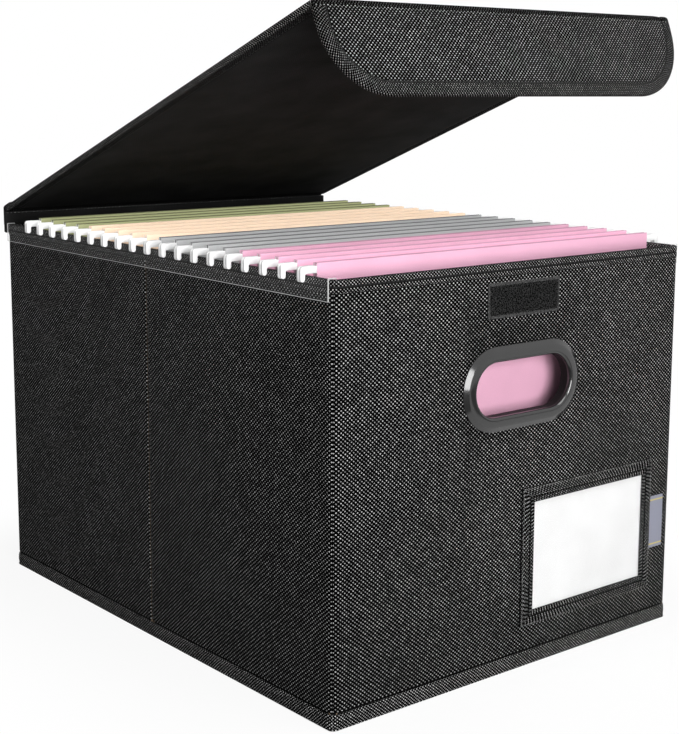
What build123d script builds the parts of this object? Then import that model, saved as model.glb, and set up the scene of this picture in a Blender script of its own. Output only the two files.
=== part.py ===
from build123d import *
import os

# A fold-flat fabric file box with a hinged lid and hanging file folders.
# Millimetres. X runs from left to right, Y from the front to the rear, Z is up.
# The origin is the middle of the underside of the base.

# ---- Box body -------------------------------------------------------------
BOX_WIDTH = 313.0           # outside of the fabric, left to right
BOX_DEPTH = 411.0           # outside of the fabric, front to rear
BOX_HEIGHT = 275.0          # floor to the top of the rim hem
CORNER_RADIUS = 4.0         # upright corners, outside
COVER = 1.0                 # woven outer cloth
BOARD = 2.5                 # stiff board inside every panel
LINING = 0.7                # non-woven inner cloth
WALL = COVER + BOARD + LINING
HEM = 1.0                   # cloth folded over the top of the walls
BASE_CLOTH = 1.0            # cloth under the base
INSERT_THICK = 3.5          # loose stiffening board on the floor of the box
INSERT_GAP = 0.8            # between that board and the lining
CREASE_GAP = 2.0            # between the two boards of a side wall, where it folds
BOARD_GAP = 0.6             # between boards that meet at a corner
BINDING_HEIGHT = 10.0       # sewn band round the foot of the walls
BINDING_THICK = 0.8
BINDING_LIFT = 0.4          # the band's lower edge stays just off the floor

# ---- Side rails that the folders hang on ----------------------------------
RAIL_THICK = 1.0            # clear plastic
RAIL_FIT = 0.1              # between the rail's legs and the wall
RAIL_OUTER_LEG = 13.0
RAIL_INNER_LEG = 9.0
RAIL_END_MARGIN = 3.5       # from the end of a rail to the box's outside
RAIL_ROUND = 0.4

# ---- Grip holes -----------------------------------------------------------
GRIP_DROP = 81.0            # middle of the grip below the rim
GRIP_HOLE_WIDTH = 86.0      # clear opening for the fingers
GRIP_HOLE_HEIGHT = 36.0
GRIP_LIP = 10.0             # width of the outer ring around the opening
GRIP_PROUD = 3.2            # thickness of the outer ring
GRIP_BEVEL = 2.2
GRIP_INNER_BEVEL = 0.8
GRIP_SLEEVE = 1.8           # wall of the sleeve that lines the hole
GRIP_PANEL_GAP = 0.3        # between the sleeve and the cut edges of the wall
GRIP_BACK_LIP = 9.0         # width of the ring on the inside
GRIP_BACK_THICK = 2.0
GRIP_SNAP_GAP = 0.1         # between the sleeve and the inner ring

# ---- Closure patch --------------------------------------------------------
PATCH_WIDTH = 65.0
PATCH_HEIGHT = 23.0
PATCH_THICK = 1.2
PATCH_DROP = 23.5           # its middle below the rim
PATCH_RADIUS = 1.0
HOOK_STRIP_HEIGHT = 20.0
HOOK_STRIP_THICK = 1.3
CLOSED_GAP = 0.5            # between the two halves when the lid is shut

# ---- Label pocket ---------------------------------------------------------
POCKET_WIDTH = 131.0
POCKET_HEIGHT = 96.5
POCKET_MARGIN = 24.0        # from its right edge to the box's side
POCKET_BOTTOM = 28.0        # lower edge above the floor
POCKET_CLOTH = 1.0
POCKET_SEAM = 4.0           # sewn edge at the left, right and bottom
POCKET_BORDER = 11.0        # cloth around the window
WINDOW_THICK = 0.3
CARD_THICK = 0.5
CARD_PLAY = 0.3             # in front of and behind the card
CARD_SIDE_PLAY = 1.5
CARD_HEIGHT = 86.0
TAG_WIDTH = 14.5
TAG_HEIGHT = 38.0
TAG_THICK = 1.0
TAG_BOTTOM = 57.0

# ---- Lid and flap ---------------------------------------------------------
LID_OVERHANG = 0.5          # past the box's sides
LID_CLEARANCE = 1.4         # between the folders' tops and the closed lid
LID_REST_ANGLE = 20.35      # how far the lid stands open
LID_CORNER_RADIUS = 4.0
EDGE_BINDING = 5.0          # from a panel's outline to its board
HINGE_STRIP_THICK = 3.5     # the turned-down strip behind the rear wall
HINGE_STRIP_DROP = 7.0      # how far it reaches below the rim
HINGE_GAP = 0.1             # between the strip and the closed lid
FLAP_DEPTH = 58.0           # from the lid's top face to the flap's lower edge
FLAP_SIDE = 7.6             # straight part of an end, above its rounded corner
FLAP_GAP = 0.2              # between the lid's lining and the flap

# ---- Hanging folders ------------------------------------------------------
FOLDER_COUNT = 19
FIRST_FOLDER = 26.5         # middle of the front folder, from the box's front
LAST_FOLDER = 42.5          # middle of the rear folder, from the box's rear
PAPER = 0.4
PAPER_SIDE_GAP = 1.9        # between the paper's edge and a rail
PAPER_DROP = 238.0          # from the top edge to the bottom fold
PAPER_RISE = 1.7            # top edge above the hook's arm
HEM_DEPTH = 10.0            # paper folded over the bar
HANGER_PITCH = 2.4          # between the two bars of a folder
BAR_THICK = 1.0
BAR_HEIGHT = 4.0
BAR_PLAY = 0.1
HOOK_THICK = 1.8
HOOK_ARM = 4.6              # height of the arm that lies over the rail
HOOK_LEG = 9.3              # height of the leg outside the rail, arm included
HOOK_LEG_WIDTH = 3.4
HOOK_SEAT = 0.15            # between the arm and the rail
HOOK_SIDE_GAP = 0.5         # between the leg and the rail
HOOK_ROUND = 2.2

# ---- Worked out from the sizes above --------------------------------------
COVER_X = BOX_WIDTH / 2 - COVER             # inner faces of the cover
COVER_Y = BOX_DEPTH / 2 - COVER
LINING_X = COVER_X - BOARD                  # outer faces of the lining
LINING_Y = COVER_Y - BOARD
INSIDE_X = BOX_WIDTH / 2 - WALL             # inner faces of the lining
INSIDE_Y = BOX_DEPTH / 2 - WALL
CORNER_KEEP = max(CORNER_RADIUS - COVER, BOARD + BOARD_GAP)
WALL_BOTTOM = BASE_CLOTH
WALL_TOP = BOX_HEIGHT - HEM
GRIP_HEIGHT = BOX_HEIGHT - GRIP_DROP
PATCH_MIDDLE = BOX_HEIGHT - PATCH_DROP

RAIL_TOP = BOX_HEIGHT + RAIL_THICK
RAIL_INSIDE = INSIDE_X - RAIL_FIT - RAIL_THICK
RAIL_OUTSIDE = BOX_WIDTH / 2 + RAIL_FIT + RAIL_THICK
ARM_BOTTOM = RAIL_TOP + HOOK_SEAT
ARM_TOP = ARM_BOTTOM + HOOK_ARM
FOLDER_TOP = ARM_TOP + PAPER_RISE
PAPER_WIDTH = 2 * (RAIL_INSIDE - PAPER_SIDE_GAP)
FOLDER_PITCH = (BOX_DEPTH - FIRST_FOLDER - LAST_FOLDER) / (FOLDER_COUNT - 1)

LID_STACK = COVER + BOARD + LINING
LID_UNDER = FOLDER_TOP + LID_CLEARANCE      # closed lid, lower face
LID_TOP = LID_UNDER + LID_STACK
LID_WIDTH = BOX_WIDTH + 2 * LID_OVERHANG
HINGE_Y = BOX_DEPTH / 2 + HINGE_STRIP_THICK
HINGE = (0, HINGE_Y, LID_TOP)
FLAP_INSIDE = BOX_DEPTH / 2 + PATCH_THICK + CLOSED_GAP + HOOK_STRIP_THICK
FLAP_OUTSIDE = FLAP_INSIDE + LID_STACK      # distance in front of the origin
LID_LENGTH = HINGE_Y + FLAP_OUTSIDE
LID_MIDDLE_Y = (HINGE_Y - FLAP_OUTSIDE) / 2
FLAP_TOP = LID_UNDER - FLAP_GAP
FLAP_BOTTOM = LID_TOP - FLAP_DEPTH
FLAP_RADIUS = FLAP_TOP - FLAP_BOTTOM - FLAP_SIDE


def block(x0, x1, y0, y1, z0, z1):
    """A rectangular block between two corners."""
    size = (x1 - x0, y1 - y0, z1 - z0)
    middle = ((x0 + x1) / 2, (y0 + y1) / 2, (z0 + z1) / 2)
    return Pos(*middle) * Box(*size)


def rounded_block(width, depth, z0, z1, radius):
    """A block centred on Z whose upright edges are rounded."""
    return Pos(0, 0, z0) * extrude(RectangleRounded(width, depth, radius), z1 - z0)


def front_plate(outline, y0, y1):
    """A flat outline drawn in X and Z, as a plate between two places along Y."""
    return Pos(0, y1, 0) * extrude(Plane.XZ * outline, y1 - y0)


def slot_plate(width, height, middle, y0, y1):
    """A plate with round ends, centred on X, between two places along Y."""
    return front_plate(Pos(0, middle) * SlotOverall(width, height), y0, y1)


def grip_cut(half_depth):
    """The hole through a front or rear wall that a grip is fitted in."""
    wide = GRIP_HOLE_WIDTH + 2 * (GRIP_SLEEVE + GRIP_PANEL_GAP)
    high = GRIP_HOLE_HEIGHT + 2 * (GRIP_SLEEVE + GRIP_PANEL_GAP)
    return slot_plate(wide, high, GRIP_HEIGHT, -half_depth, half_depth)


# ---- Box body -------------------------------------------------------------
def base_cover():
    return rounded_block(BOX_WIDTH, BOX_DEPTH, 0, BASE_CLOTH, CORNER_RADIUS)


def base_binding():
    outer = rounded_block(BOX_WIDTH + 2 * BINDING_THICK, BOX_DEPTH + 2 * BINDING_THICK,
                          BINDING_LIFT, BINDING_HEIGHT, CORNER_RADIUS + BINDING_THICK)
    inner = rounded_block(BOX_WIDTH, BOX_DEPTH, 0, 2 * BINDING_HEIGHT, CORNER_RADIUS)
    return outer - inner


def base_insert():
    x = INSIDE_X - INSERT_GAP
    y = INSIDE_Y - INSERT_GAP
    return block(-x, x, -y, y, BASE_CLOTH, BASE_CLOTH + INSERT_THICK)


def wall_cover():
    outer = rounded_block(BOX_WIDTH, BOX_DEPTH, WALL_BOTTOM, WALL_TOP, CORNER_RADIUS)
    inner = rounded_block(2 * COVER_X, 2 * COVER_Y, 0, BOX_HEIGHT, CORNER_RADIUS - COVER)
    return outer - inner - grip_cut(BOX_DEPTH)


def wall_lining():
    outer = block(-LINING_X, LINING_X, -LINING_Y, LINING_Y, WALL_BOTTOM, WALL_TOP)
    inner = block(-INSIDE_X, INSIDE_X, -INSIDE_Y, INSIDE_Y, 0, BOX_HEIGHT)
    return outer - inner - grip_cut(BOX_DEPTH)


def rim_hem():
    outer = rounded_block(BOX_WIDTH, BOX_DEPTH, WALL_TOP, BOX_HEIGHT, CORNER_RADIUS)
    return outer - block(-INSIDE_X, INSIDE_X, -INSIDE_Y, INSIDE_Y, 0, 2 * BOX_HEIGHT)


def end_board(side):
    """The one-piece board of the front wall (side -1) or the rear wall (side 1)."""
    x = COVER_X - CORNER_KEEP
    near, far = sorted((side * LINING_Y, side * COVER_Y))
    return block(-x, x, near, far, WALL_BOTTOM, WALL_TOP) - grip_cut(BOX_DEPTH)


def side_board(side, end):
    """Half of a side wall's board: side -1 is left, end -1 is the front half."""
    x0, x1 = sorted((side * LINING_X, side * COVER_X))
    y0, y1 = sorted((end * CREASE_GAP / 2, end * (COVER_Y - CORNER_KEEP)))
    return block(x0, x1, y0, y1, WALL_BOTTOM, WALL_TOP)


# ---- Rails ----------------------------------------------------------------
def rail(side):
    """A clear channel that sits on top of a side wall."""
    y = BOX_DEPTH / 2 - RAIL_END_MARGIN
    inner_y = min(y, INSIDE_Y - RAIL_FIT)
    inside = RAIL_INSIDE + RAIL_THICK
    body = block(RAIL_INSIDE, RAIL_OUTSIDE, -y, y, BOX_HEIGHT, RAIL_TOP)
    body += block(RAIL_OUTSIDE - RAIL_THICK, RAIL_OUTSIDE, -y, y, BOX_HEIGHT - RAIL_OUTER_LEG, RAIL_TOP)
    body += block(RAIL_INSIDE, inside, -inner_y, inner_y, BOX_HEIGHT - RAIL_INNER_LEG, RAIL_TOP)
    top_edges = body.edges().filter_by(Axis.Y).group_by(Axis.Z)[-1]
    body = fillet(top_edges, RAIL_ROUND)
    return body if side > 0 else Rot(Z=180) * body


# ---- Grips ----------------------------------------------------------------
def grip_outer(side):
    """Outer ring and the sleeve that runs through the wall to the inner ring."""
    face = BOX_DEPTH / 2
    ring = slot_plate(GRIP_HOLE_WIDTH + 2 * GRIP_LIP, GRIP_HOLE_HEIGHT + 2 * GRIP_LIP,
                      GRIP_HEIGHT, face, face + GRIP_PROUD)
    front = ring.faces().sort_by(Axis.Y)[-1]
    ring = chamfer(front.edges(), GRIP_BEVEL)
    sleeve = slot_plate(GRIP_HOLE_WIDTH + 2 * GRIP_SLEEVE, GRIP_HOLE_HEIGHT + 2 * GRIP_SLEEVE,
                        GRIP_HEIGHT, INSIDE_Y - GRIP_BACK_THICK, face)
    hole = slot_plate(GRIP_HOLE_WIDTH, GRIP_HOLE_HEIGHT, GRIP_HEIGHT, 0, 2 * face)
    body = ring + sleeve - hole
    lip = body.faces().sort_by(Axis.Y)[-1].inner_wires()[0].edges()
    body = chamfer(lip, GRIP_INNER_BEVEL)
    return body if side > 0 else Rot(Z=180) * body


def grip_inner(side):
    """The ring that clamps the lining and snaps onto the sleeve."""
    wide = GRIP_HOLE_WIDTH + 2 * (GRIP_SLEEVE + GRIP_SNAP_GAP)
    high = GRIP_HOLE_HEIGHT + 2 * (GRIP_SLEEVE + GRIP_SNAP_GAP)
    ring = slot_plate(GRIP_HOLE_WIDTH + 2 * GRIP_BACK_LIP, GRIP_HOLE_HEIGHT + 2 * GRIP_BACK_LIP,
                      GRIP_HEIGHT, INSIDE_Y - GRIP_BACK_THICK, INSIDE_Y)
    body = ring - slot_plate(wide, high, GRIP_HEIGHT, 0, BOX_DEPTH)
    return body if side > 0 else Rot(Z=180) * body


# ---- Things sewn on the front ---------------------------------------------
def loop_strip():
    outline = Pos(0, PATCH_MIDDLE) * RectangleRounded(PATCH_WIDTH, PATCH_HEIGHT, PATCH_RADIUS)
    face = -BOX_DEPTH / 2
    return front_plate(outline, face - PATCH_THICK, face)


CARD_BACK = -BOX_DEPTH / 2 - CARD_PLAY
CARD_FRONT = CARD_BACK - CARD_THICK
WINDOW_BACK = CARD_FRONT - CARD_PLAY
WINDOW_FRONT = WINDOW_BACK - WINDOW_THICK
POCKET_FRONT = WINDOW_FRONT - POCKET_CLOTH
POCKET_RIGHT = BOX_WIDTH / 2 - POCKET_MARGIN
POCKET_LEFT = POCKET_RIGHT - POCKET_WIDTH
POCKET_TOP = POCKET_BOTTOM + POCKET_HEIGHT


def label_pocket():
    """Cloth frame sewn down at the left, right and bottom, and open at the top."""
    wall = -BOX_DEPTH / 2
    body = block(POCKET_LEFT, POCKET_RIGHT, POCKET_FRONT, wall, POCKET_BOTTOM, POCKET_TOP)
    body -= block(POCKET_LEFT + POCKET_SEAM, POCKET_RIGHT - POCKET_SEAM, WINDOW_FRONT, wall,
                  POCKET_BOTTOM + POCKET_SEAM, 2 * POCKET_TOP)
    body -= block(POCKET_LEFT + POCKET_BORDER, POCKET_RIGHT - POCKET_BORDER, 2 * wall, WINDOW_FRONT,
                  POCKET_BOTTOM + POCKET_BORDER, POCKET_TOP - POCKET_BORDER)
    return body


def label_window():
    """Clear sheet behind the frame's opening."""
    return block(POCKET_LEFT + POCKET_SEAM, POCKET_RIGHT - POCKET_SEAM, WINDOW_FRONT, WINDOW_BACK,
                 POCKET_BOTTOM + POCKET_SEAM, POCKET_TOP)


def label_card():
    side = POCKET_SEAM + CARD_SIDE_PLAY
    foot = POCKET_BOTTOM + POCKET_SEAM
    return block(POCKET_LEFT + side, POCKET_RIGHT - side, CARD_FRONT, CARD_BACK, foot, foot + CARD_HEIGHT)


def side_tag():
    """Folded tag caught in the pocket's right-hand seam."""
    wall = -BOX_DEPTH / 2
    return block(POCKET_RIGHT, POCKET_RIGHT + TAG_WIDTH, wall - TAG_THICK, wall,
                 TAG_BOTTOM, TAG_BOTTOM + TAG_HEIGHT)


# ---- Lid ------------------------------------------------------------------
def open_lid(closed):
    """Turn a piece of the closed lid about the hinge to where the lid stands open."""
    return Pos(*HINGE) * Rot(X=-LID_REST_ANGLE) * Pos(*[-v for v in HINGE]) * closed


def lid_sheet(z0, z1):
    """A layer of the lid with its full outline."""
    return Pos(0, LID_MIDDLE_Y, 0) * rounded_block(LID_WIDTH, LID_LENGTH, z0, z1, LID_CORNER_RADIUS)


def lid_core(z0, z1):
    """The board's outline, inside the bound edges."""
    x = LID_WIDTH / 2 - EDGE_BINDING
    y = LID_LENGTH / 2 - EDGE_BINDING
    return Pos(0, LID_MIDDLE_Y, 0) * block(-x, x, -y, y, z0, z1)


def lid_cover():
    return lid_sheet(LID_TOP - COVER, LID_TOP)


def lid_board():
    return lid_core(LID_UNDER + LINING, LID_TOP - COVER)


def lid_binding():
    ring = lid_sheet(LID_UNDER + LINING, LID_TOP - COVER)
    return ring - lid_core(LID_UNDER, LID_TOP)


def lid_lining():
    return lid_sheet(LID_UNDER, LID_UNDER + LINING)


def hinge_strip():
    """The cloth-covered strip sewn behind the rear wall, which the lid folds from."""
    x = LID_WIDTH / 2
    return block(-x, x, BOX_DEPTH / 2, HINGE_Y, BOX_HEIGHT - HINGE_STRIP_DROP, LID_UNDER - HINGE_GAP)


# ---- Flap -----------------------------------------------------------------
def flap_outline(inset):
    """The flap seen from the front, drawn smaller by an inset."""
    x = LID_WIDTH / 2 - inset
    high = FLAP_TOP - inset
    low = FLAP_BOTTOM + inset
    radius = FLAP_RADIUS - inset
    outline = Pos(0, (high + low) / 2) * Rectangle(2 * x, high - low)
    return fillet(outline.vertices().group_by(Axis.Y)[0], radius)


def flap_layer(inset, y0, y1):
    return front_plate(flap_outline(inset), y0, y1)


def flap_cover():
    return flap_layer(0, -FLAP_OUTSIDE, -FLAP_OUTSIDE + COVER)


def flap_board():
    return flap_layer(EDGE_BINDING, -FLAP_OUTSIDE + COVER, -FLAP_INSIDE - LINING)


def flap_binding():
    ring = flap_layer(0, -FLAP_OUTSIDE + COVER, -FLAP_INSIDE - LINING)
    return ring - flap_layer(EDGE_BINDING, -2 * FLAP_OUTSIDE, 0)


def flap_lining():
    return flap_layer(0, -FLAP_INSIDE - LINING, -FLAP_INSIDE)


def hook_strip():
    outline = Pos(0, PATCH_MIDDLE) * RectangleRounded(PATCH_WIDTH, HOOK_STRIP_HEIGHT, PATCH_RADIUS)
    return front_plate(outline, -FLAP_INSIDE, -FLAP_INSIDE + HOOK_STRIP_THICK)


# ---- Hanging folders ------------------------------------------------------
def folder_paper():
    """One sheet, folded at the bottom, with each top edge turned over a bar."""
    x = PAPER_WIDTH / 2
    channel = BAR_THICK / 2 + BAR_PLAY
    outside = HANGER_PITCH / 2 + channel + PAPER
    bottom = FOLDER_TOP - PAPER_DROP
    body = block(-x, x, -outside, outside, bottom, FOLDER_TOP)
    body -= block(-2 * x, 2 * x, -outside + PAPER, outside - PAPER, bottom + PAPER, FOLDER_TOP - HEM_DEPTH)
    between = HANGER_PITCH / 2 - channel - PAPER
    body -= block(-2 * x, 2 * x, -between, between, bottom + PAPER, 2 * FOLDER_TOP)
    for side in (-1, 1):
        middle = side * HANGER_PITCH / 2
        body -= block(-2 * x, 2 * x, middle - channel, middle + channel,
                      bottom + PAPER, FOLDER_TOP - PAPER)
    return body


def folder_bar(middle):
    """The flat bar inside a top edge, from hook to hook."""
    x = PAPER_WIDTH / 2 + BAR_PLAY
    z = (ARM_BOTTOM + ARM_TOP) / 2
    return block(-x, x, middle - BAR_THICK / 2, middle + BAR_THICK / 2, z - BAR_HEIGHT / 2, z + BAR_HEIGHT / 2)


def folder_hook(middle, side):
    """The moulded hook on a bar's end: an arm over the rail and a leg outside it."""
    inner = PAPER_WIDTH / 2 + BAR_PLAY
    leg = RAIL_OUTSIDE + HOOK_SIDE_GAP
    tip = leg + HOOK_LEG_WIDTH
    y0, y1 = middle - HOOK_THICK / 2, middle + HOOK_THICK / 2
    body = block(inner, tip, y0, y1, ARM_BOTTOM, ARM_TOP) + block(leg, tip, y0, y1, ARM_TOP - HOOK_LEG, ARM_TOP)
    shoulder = body.edges().filter_by(Axis.Y).group_by(Axis.Z)[-1].sort_by(Axis.X)[-1]
    body = fillet(shoulder, HOOK_ROUND)
    return body if side > 0 else mirror(body, Plane.YZ)


def folder(index):
    """A folder with its two bars and four hooks, as separate solids."""
    place = -BOX_DEPTH / 2 + FIRST_FOLDER + index * FOLDER_PITCH
    pieces = [folder_paper()]
    for end in (-1, 1):
        middle = end * HANGER_PITCH / 2
        pieces.append(folder_bar(middle))
        pieces += [folder_hook(middle, side) for side in (-1, 1)]
    return Pos(0, place, 0) * Compound(children=pieces)


def all_nodes():
    """Every node of the model, by name."""
    nodes = {
        "base_cover": base_cover(),
        "base_binding": base_binding(),
        "base_insert": base_insert(),
        "wall_cover": wall_cover(),
        "wall_lining": wall_lining(),
        "rim_hem": rim_hem(),
        "front_board": end_board(-1),
        "rear_board": end_board(1),
        "left_front_board": side_board(-1, -1),
        "left_rear_board": side_board(-1, 1),
        "right_front_board": side_board(1, -1),
        "right_rear_board": side_board(1, 1),
        "left_rail": rail(-1),
        "right_rail": rail(1),
        "front_grip_outer": grip_outer(-1),
        "front_grip_inner": grip_inner(-1),
        "rear_grip_outer": grip_outer(1),
        "rear_grip_inner": grip_inner(1),
        "loop_strip": loop_strip(),
        "label_pocket": label_pocket(),
        "label_window": label_window(),
        "label_card": label_card(),
        "side_tag": side_tag(),
        "hinge_strip": hinge_strip(),
    }
    moving = {
        "lid_cover": lid_cover(),
        "lid_board": lid_board(),
        "lid_binding": lid_binding(),
        "lid_lining": lid_lining(),
        "flap_cover": flap_cover(),
        "flap_board": flap_board(),
        "flap_binding": flap_binding(),
        "flap_lining": flap_lining(),
        "hook_strip": hook_strip(),
    }
    nodes.update({name: open_lid(piece) for name, piece in moving.items()})
    for index in range(FOLDER_COUNT):
        nodes[f"folder_{index + 1:02d}"] = folder(index)
    return nodes


os.makedirs("parts", exist_ok=True)
for name, piece in all_nodes().items():
    export_step(piece, f"parts/{name}.step")
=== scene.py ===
"""Looks of a cloth-covered file box with a hinged lid and nineteen hanging folders.

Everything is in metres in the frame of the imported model: +X right along the front, +Y to the rear, +Z up.
"""

from __future__ import annotations

import logging
import math
from collections.abc import Callable, Sequence
from dataclasses import dataclass, field
from enum import Enum

import bmesh
import bpy
from mathutils import Matrix, Vector


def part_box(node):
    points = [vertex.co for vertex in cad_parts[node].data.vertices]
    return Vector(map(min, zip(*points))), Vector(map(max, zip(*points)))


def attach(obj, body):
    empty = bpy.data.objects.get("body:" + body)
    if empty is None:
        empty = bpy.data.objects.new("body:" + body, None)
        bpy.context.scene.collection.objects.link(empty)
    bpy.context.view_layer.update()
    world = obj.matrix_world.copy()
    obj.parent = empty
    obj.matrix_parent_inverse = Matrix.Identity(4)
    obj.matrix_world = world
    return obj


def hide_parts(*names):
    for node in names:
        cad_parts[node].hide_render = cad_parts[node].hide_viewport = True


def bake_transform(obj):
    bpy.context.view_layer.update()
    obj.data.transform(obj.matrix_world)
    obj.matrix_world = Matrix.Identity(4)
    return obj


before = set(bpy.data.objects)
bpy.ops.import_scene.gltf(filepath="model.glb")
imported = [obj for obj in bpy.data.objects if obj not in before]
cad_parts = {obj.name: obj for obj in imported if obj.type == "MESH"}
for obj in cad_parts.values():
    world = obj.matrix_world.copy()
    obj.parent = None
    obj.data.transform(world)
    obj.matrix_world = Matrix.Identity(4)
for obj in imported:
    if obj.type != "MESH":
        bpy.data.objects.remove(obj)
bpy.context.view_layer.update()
LOG = logging.getLogger("file_box")
MM = 0.001
WELD = 1e-7  # how close two vertices count as one
UV_NAME = "weave"
Colour = tuple[float, float, float]
Point = tuple[float, float, float]
Place = Callable[[float, float, float], Vector]  # puts a shape's own coordinates into the model
Mark = tuple[float, float]  # a point of a plane, or a pair of sizes
Socket = bpy.types.NodeSocket
Material = bpy.types.Material
Object = bpy.types.Object
SAME_WAY = (False, False, False, False)  # a cloth that runs the same way on all four sides
CORNERS = ((-1, -1), (1, -1), (1, 1), (-1, 1))  # of a rectangle, in half sizes from its middle


class Body(str, Enum):
    """The bodies that pieces ride on, apart from the folders."""

    BOX = "box"
    LID = "lid"
    FLAP = "flap"


class Side(Enum):
    """The ends of the box, as the direction that each faces along Y."""

    FRONT = -1
    REAR = 1


# --- Materials ---
class Tree:
    """A node tree in the making, with short calls for what it needs most."""

    prefix = "ShaderNode"

    def __init__(self, tree: bpy.types.NodeTree) -> None:
        """Take up a tree."""
        self.tree = tree

    def node(self, kind: str, inputs: dict[str | int, object] | None = None,
             **settings: object) -> bpy.types.Node:
        """Add a node.

        Args:
            kind: the node's type, without the tree's prefix.
            inputs: what its inputs are linked or set to.
            settings: properties of the node.

        Returns:
            The new node.
        """
        made = self.tree.nodes.new(self.prefix + kind)
        for key, value in settings.items():
            setattr(made, key, value)
        for key, value in (inputs or {}).items():
            self.feed(made.inputs[key], value)
        return made

    def feed(self, socket: Socket, value: object) -> None:
        """Link or set an input.

        Args:
            socket: the input.
            value: a socket to link it to, or its value; a colour may come without its alpha.
        """
        if isinstance(value, Socket):
            self.tree.links.new(value, socket)
        else:
            socket.default_value = (*value, 1.0) if socket.type == "RGBA" and len(value) == 3 else value

    def math(self, operation: str, *values: object) -> Socket:
        """A Math node on one to three values."""
        return self.node("Math", dict(enumerate(values)), operation=operation).outputs[0]


class Graph(Tree):
    """A material's nodes, with short calls for those that the finishes use."""

    def __init__(self, name: str) -> None:
        """Start a material that holds one Principled shader.

        Args:
            name: the material's name.
        """
        self.material = bpy.data.materials.new(name)
        self.material.use_nodes = True
        super().__init__(self.material.node_tree)
        self.shader = self.tree.nodes["Principled BSDF"]

    def add(self, *values: object) -> Socket:
        """The sum of two or more values."""
        total = values[0]
        for value in values[1:]:
            total = self.math("ADD", total, value)
        return total

    def less(self, value: object, other: object) -> Socket:
        """A value minus another one."""
        return self.math("SUBTRACT", value, other)

    def times(self, value: object, factor: object) -> Socket:
        """A value times another one."""
        return self.math("MULTIPLY", value, factor)

    def ramp(self, value: object, low: float, high: float, start: float = 0.0, end: float = 1.0) -> Socket:
        """A smooth step of a value from low..high to start..end."""
        given = {"Value": value, "From Min": low, "From Max": high, "To Min": start, "To Max": end}
        return self.node("MapRange", given, interpolation_type="SMOOTHSTEP").outputs["Result"]

    def mix(self, factor: object, first: object, second: object) -> Socket:
        """A mix of two colours."""
        return self.node("Mix", {"Factor": factor, 6: first, 7: second}, data_type="RGBA").outputs[2]

    def noise(self, vector: object, size: float, detail: float = 2.0) -> Socket:
        """Noise around 0.5, in so many octaves, whose features are about a given size in metres."""
        given = {"Vector": vector, "Scale": 1.0 / size, "Detail": detail}
        return self.node("TexNoise", given, noise_dimensions="3D").outputs[0]

    def stretch(self, value: object, start: float = 0.0, end: float = 1.0) -> Socket:
        """Noise stretched from its usual range to start..end."""
        return self.ramp(value, 0.3, 0.7, start, end)

    def wave(self, value: object, pitch: float) -> Socket:
        """A ripple along a value, from 0 to 1."""
        return self.ramp(self.math("SINE", self.times(value, math.tau / pitch)), -1.0, 1.0)

    def cells(self, first: object, second: object) -> Socket:
        """A random value for each cell of a grid.

        Args:
            first: the place along the grid, in cells.
            second: the place across the grid, in cells.

        Returns:
            A value from 0 to 1.
        """
        joined = self.node("CombineXYZ")
        for socket, value in zip(joined.inputs, (first, second)):
            self.feed(socket, self.math("FLOOR", value))
        made = self.node("TexWhiteNoise", {"Vector": joined.outputs[0]}, noise_dimensions="2D")
        return made.outputs["Value"]

    def object_place(self) -> Socket:
        """The place in the model's frame, in metres."""
        return self.node("TexCoord").outputs["Object"]

    def sheet_place(self) -> Socket:
        """The place on the flat cloth, in metres."""
        return self.node("UVMap", uv_map=UV_NAME).outputs["UV"]

    def split(self, vector: object) -> tuple[Socket, ...]:
        """The X, Y and Z of a vector."""
        return tuple(self.node("SeparateXYZ", {0: vector}).outputs)

    def bump(self, height: object, depth: float, strength: float = 1.0) -> None:
        """Give the shader a bump of a given depth, in metres."""
        made = self.node("Bump", {"Strength": strength, "Distance": depth, "Height": height})
        self.feed(self.shader.inputs["Normal"], made.outputs[0])

    def finish(self, **values: object) -> Material:
        """Set the shader's sockets, named with _ for a space, and return the material."""
        for key, value in values.items():
            self.feed(self.shader.inputs[key.replace("_", " ")], value)
        return self.material


def grey(value: float) -> Colour:
    """A neutral colour."""
    return (value, value, value)


def toned(colour: Colour, factor: float) -> Colour:
    """A colour made darker or lighter, up to white."""
    return tuple(min(1.0, channel * factor) for channel in colour)


@dataclass(frozen=True)
class Finish:
    """What every finish shares: a name, and a material that its dress method fills in."""

    name: str

    def material(self) -> Material:
        """Build the material."""
        g = Graph(self.name)
        return self.dress(g, self.coordinates(g))

    def coordinates(self, g: Graph) -> Socket:
        """Where the pattern lies: fixed to the model's frame."""
        return g.object_place()

    def dress(self, g: Graph, place: Socket) -> Material:
        """Wire up the finish.

        Args:
            g: the material's nodes.
            place: the coordinates that the pattern follows.

        Returns:
            The material.
        """
        raise NotImplementedError


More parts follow.
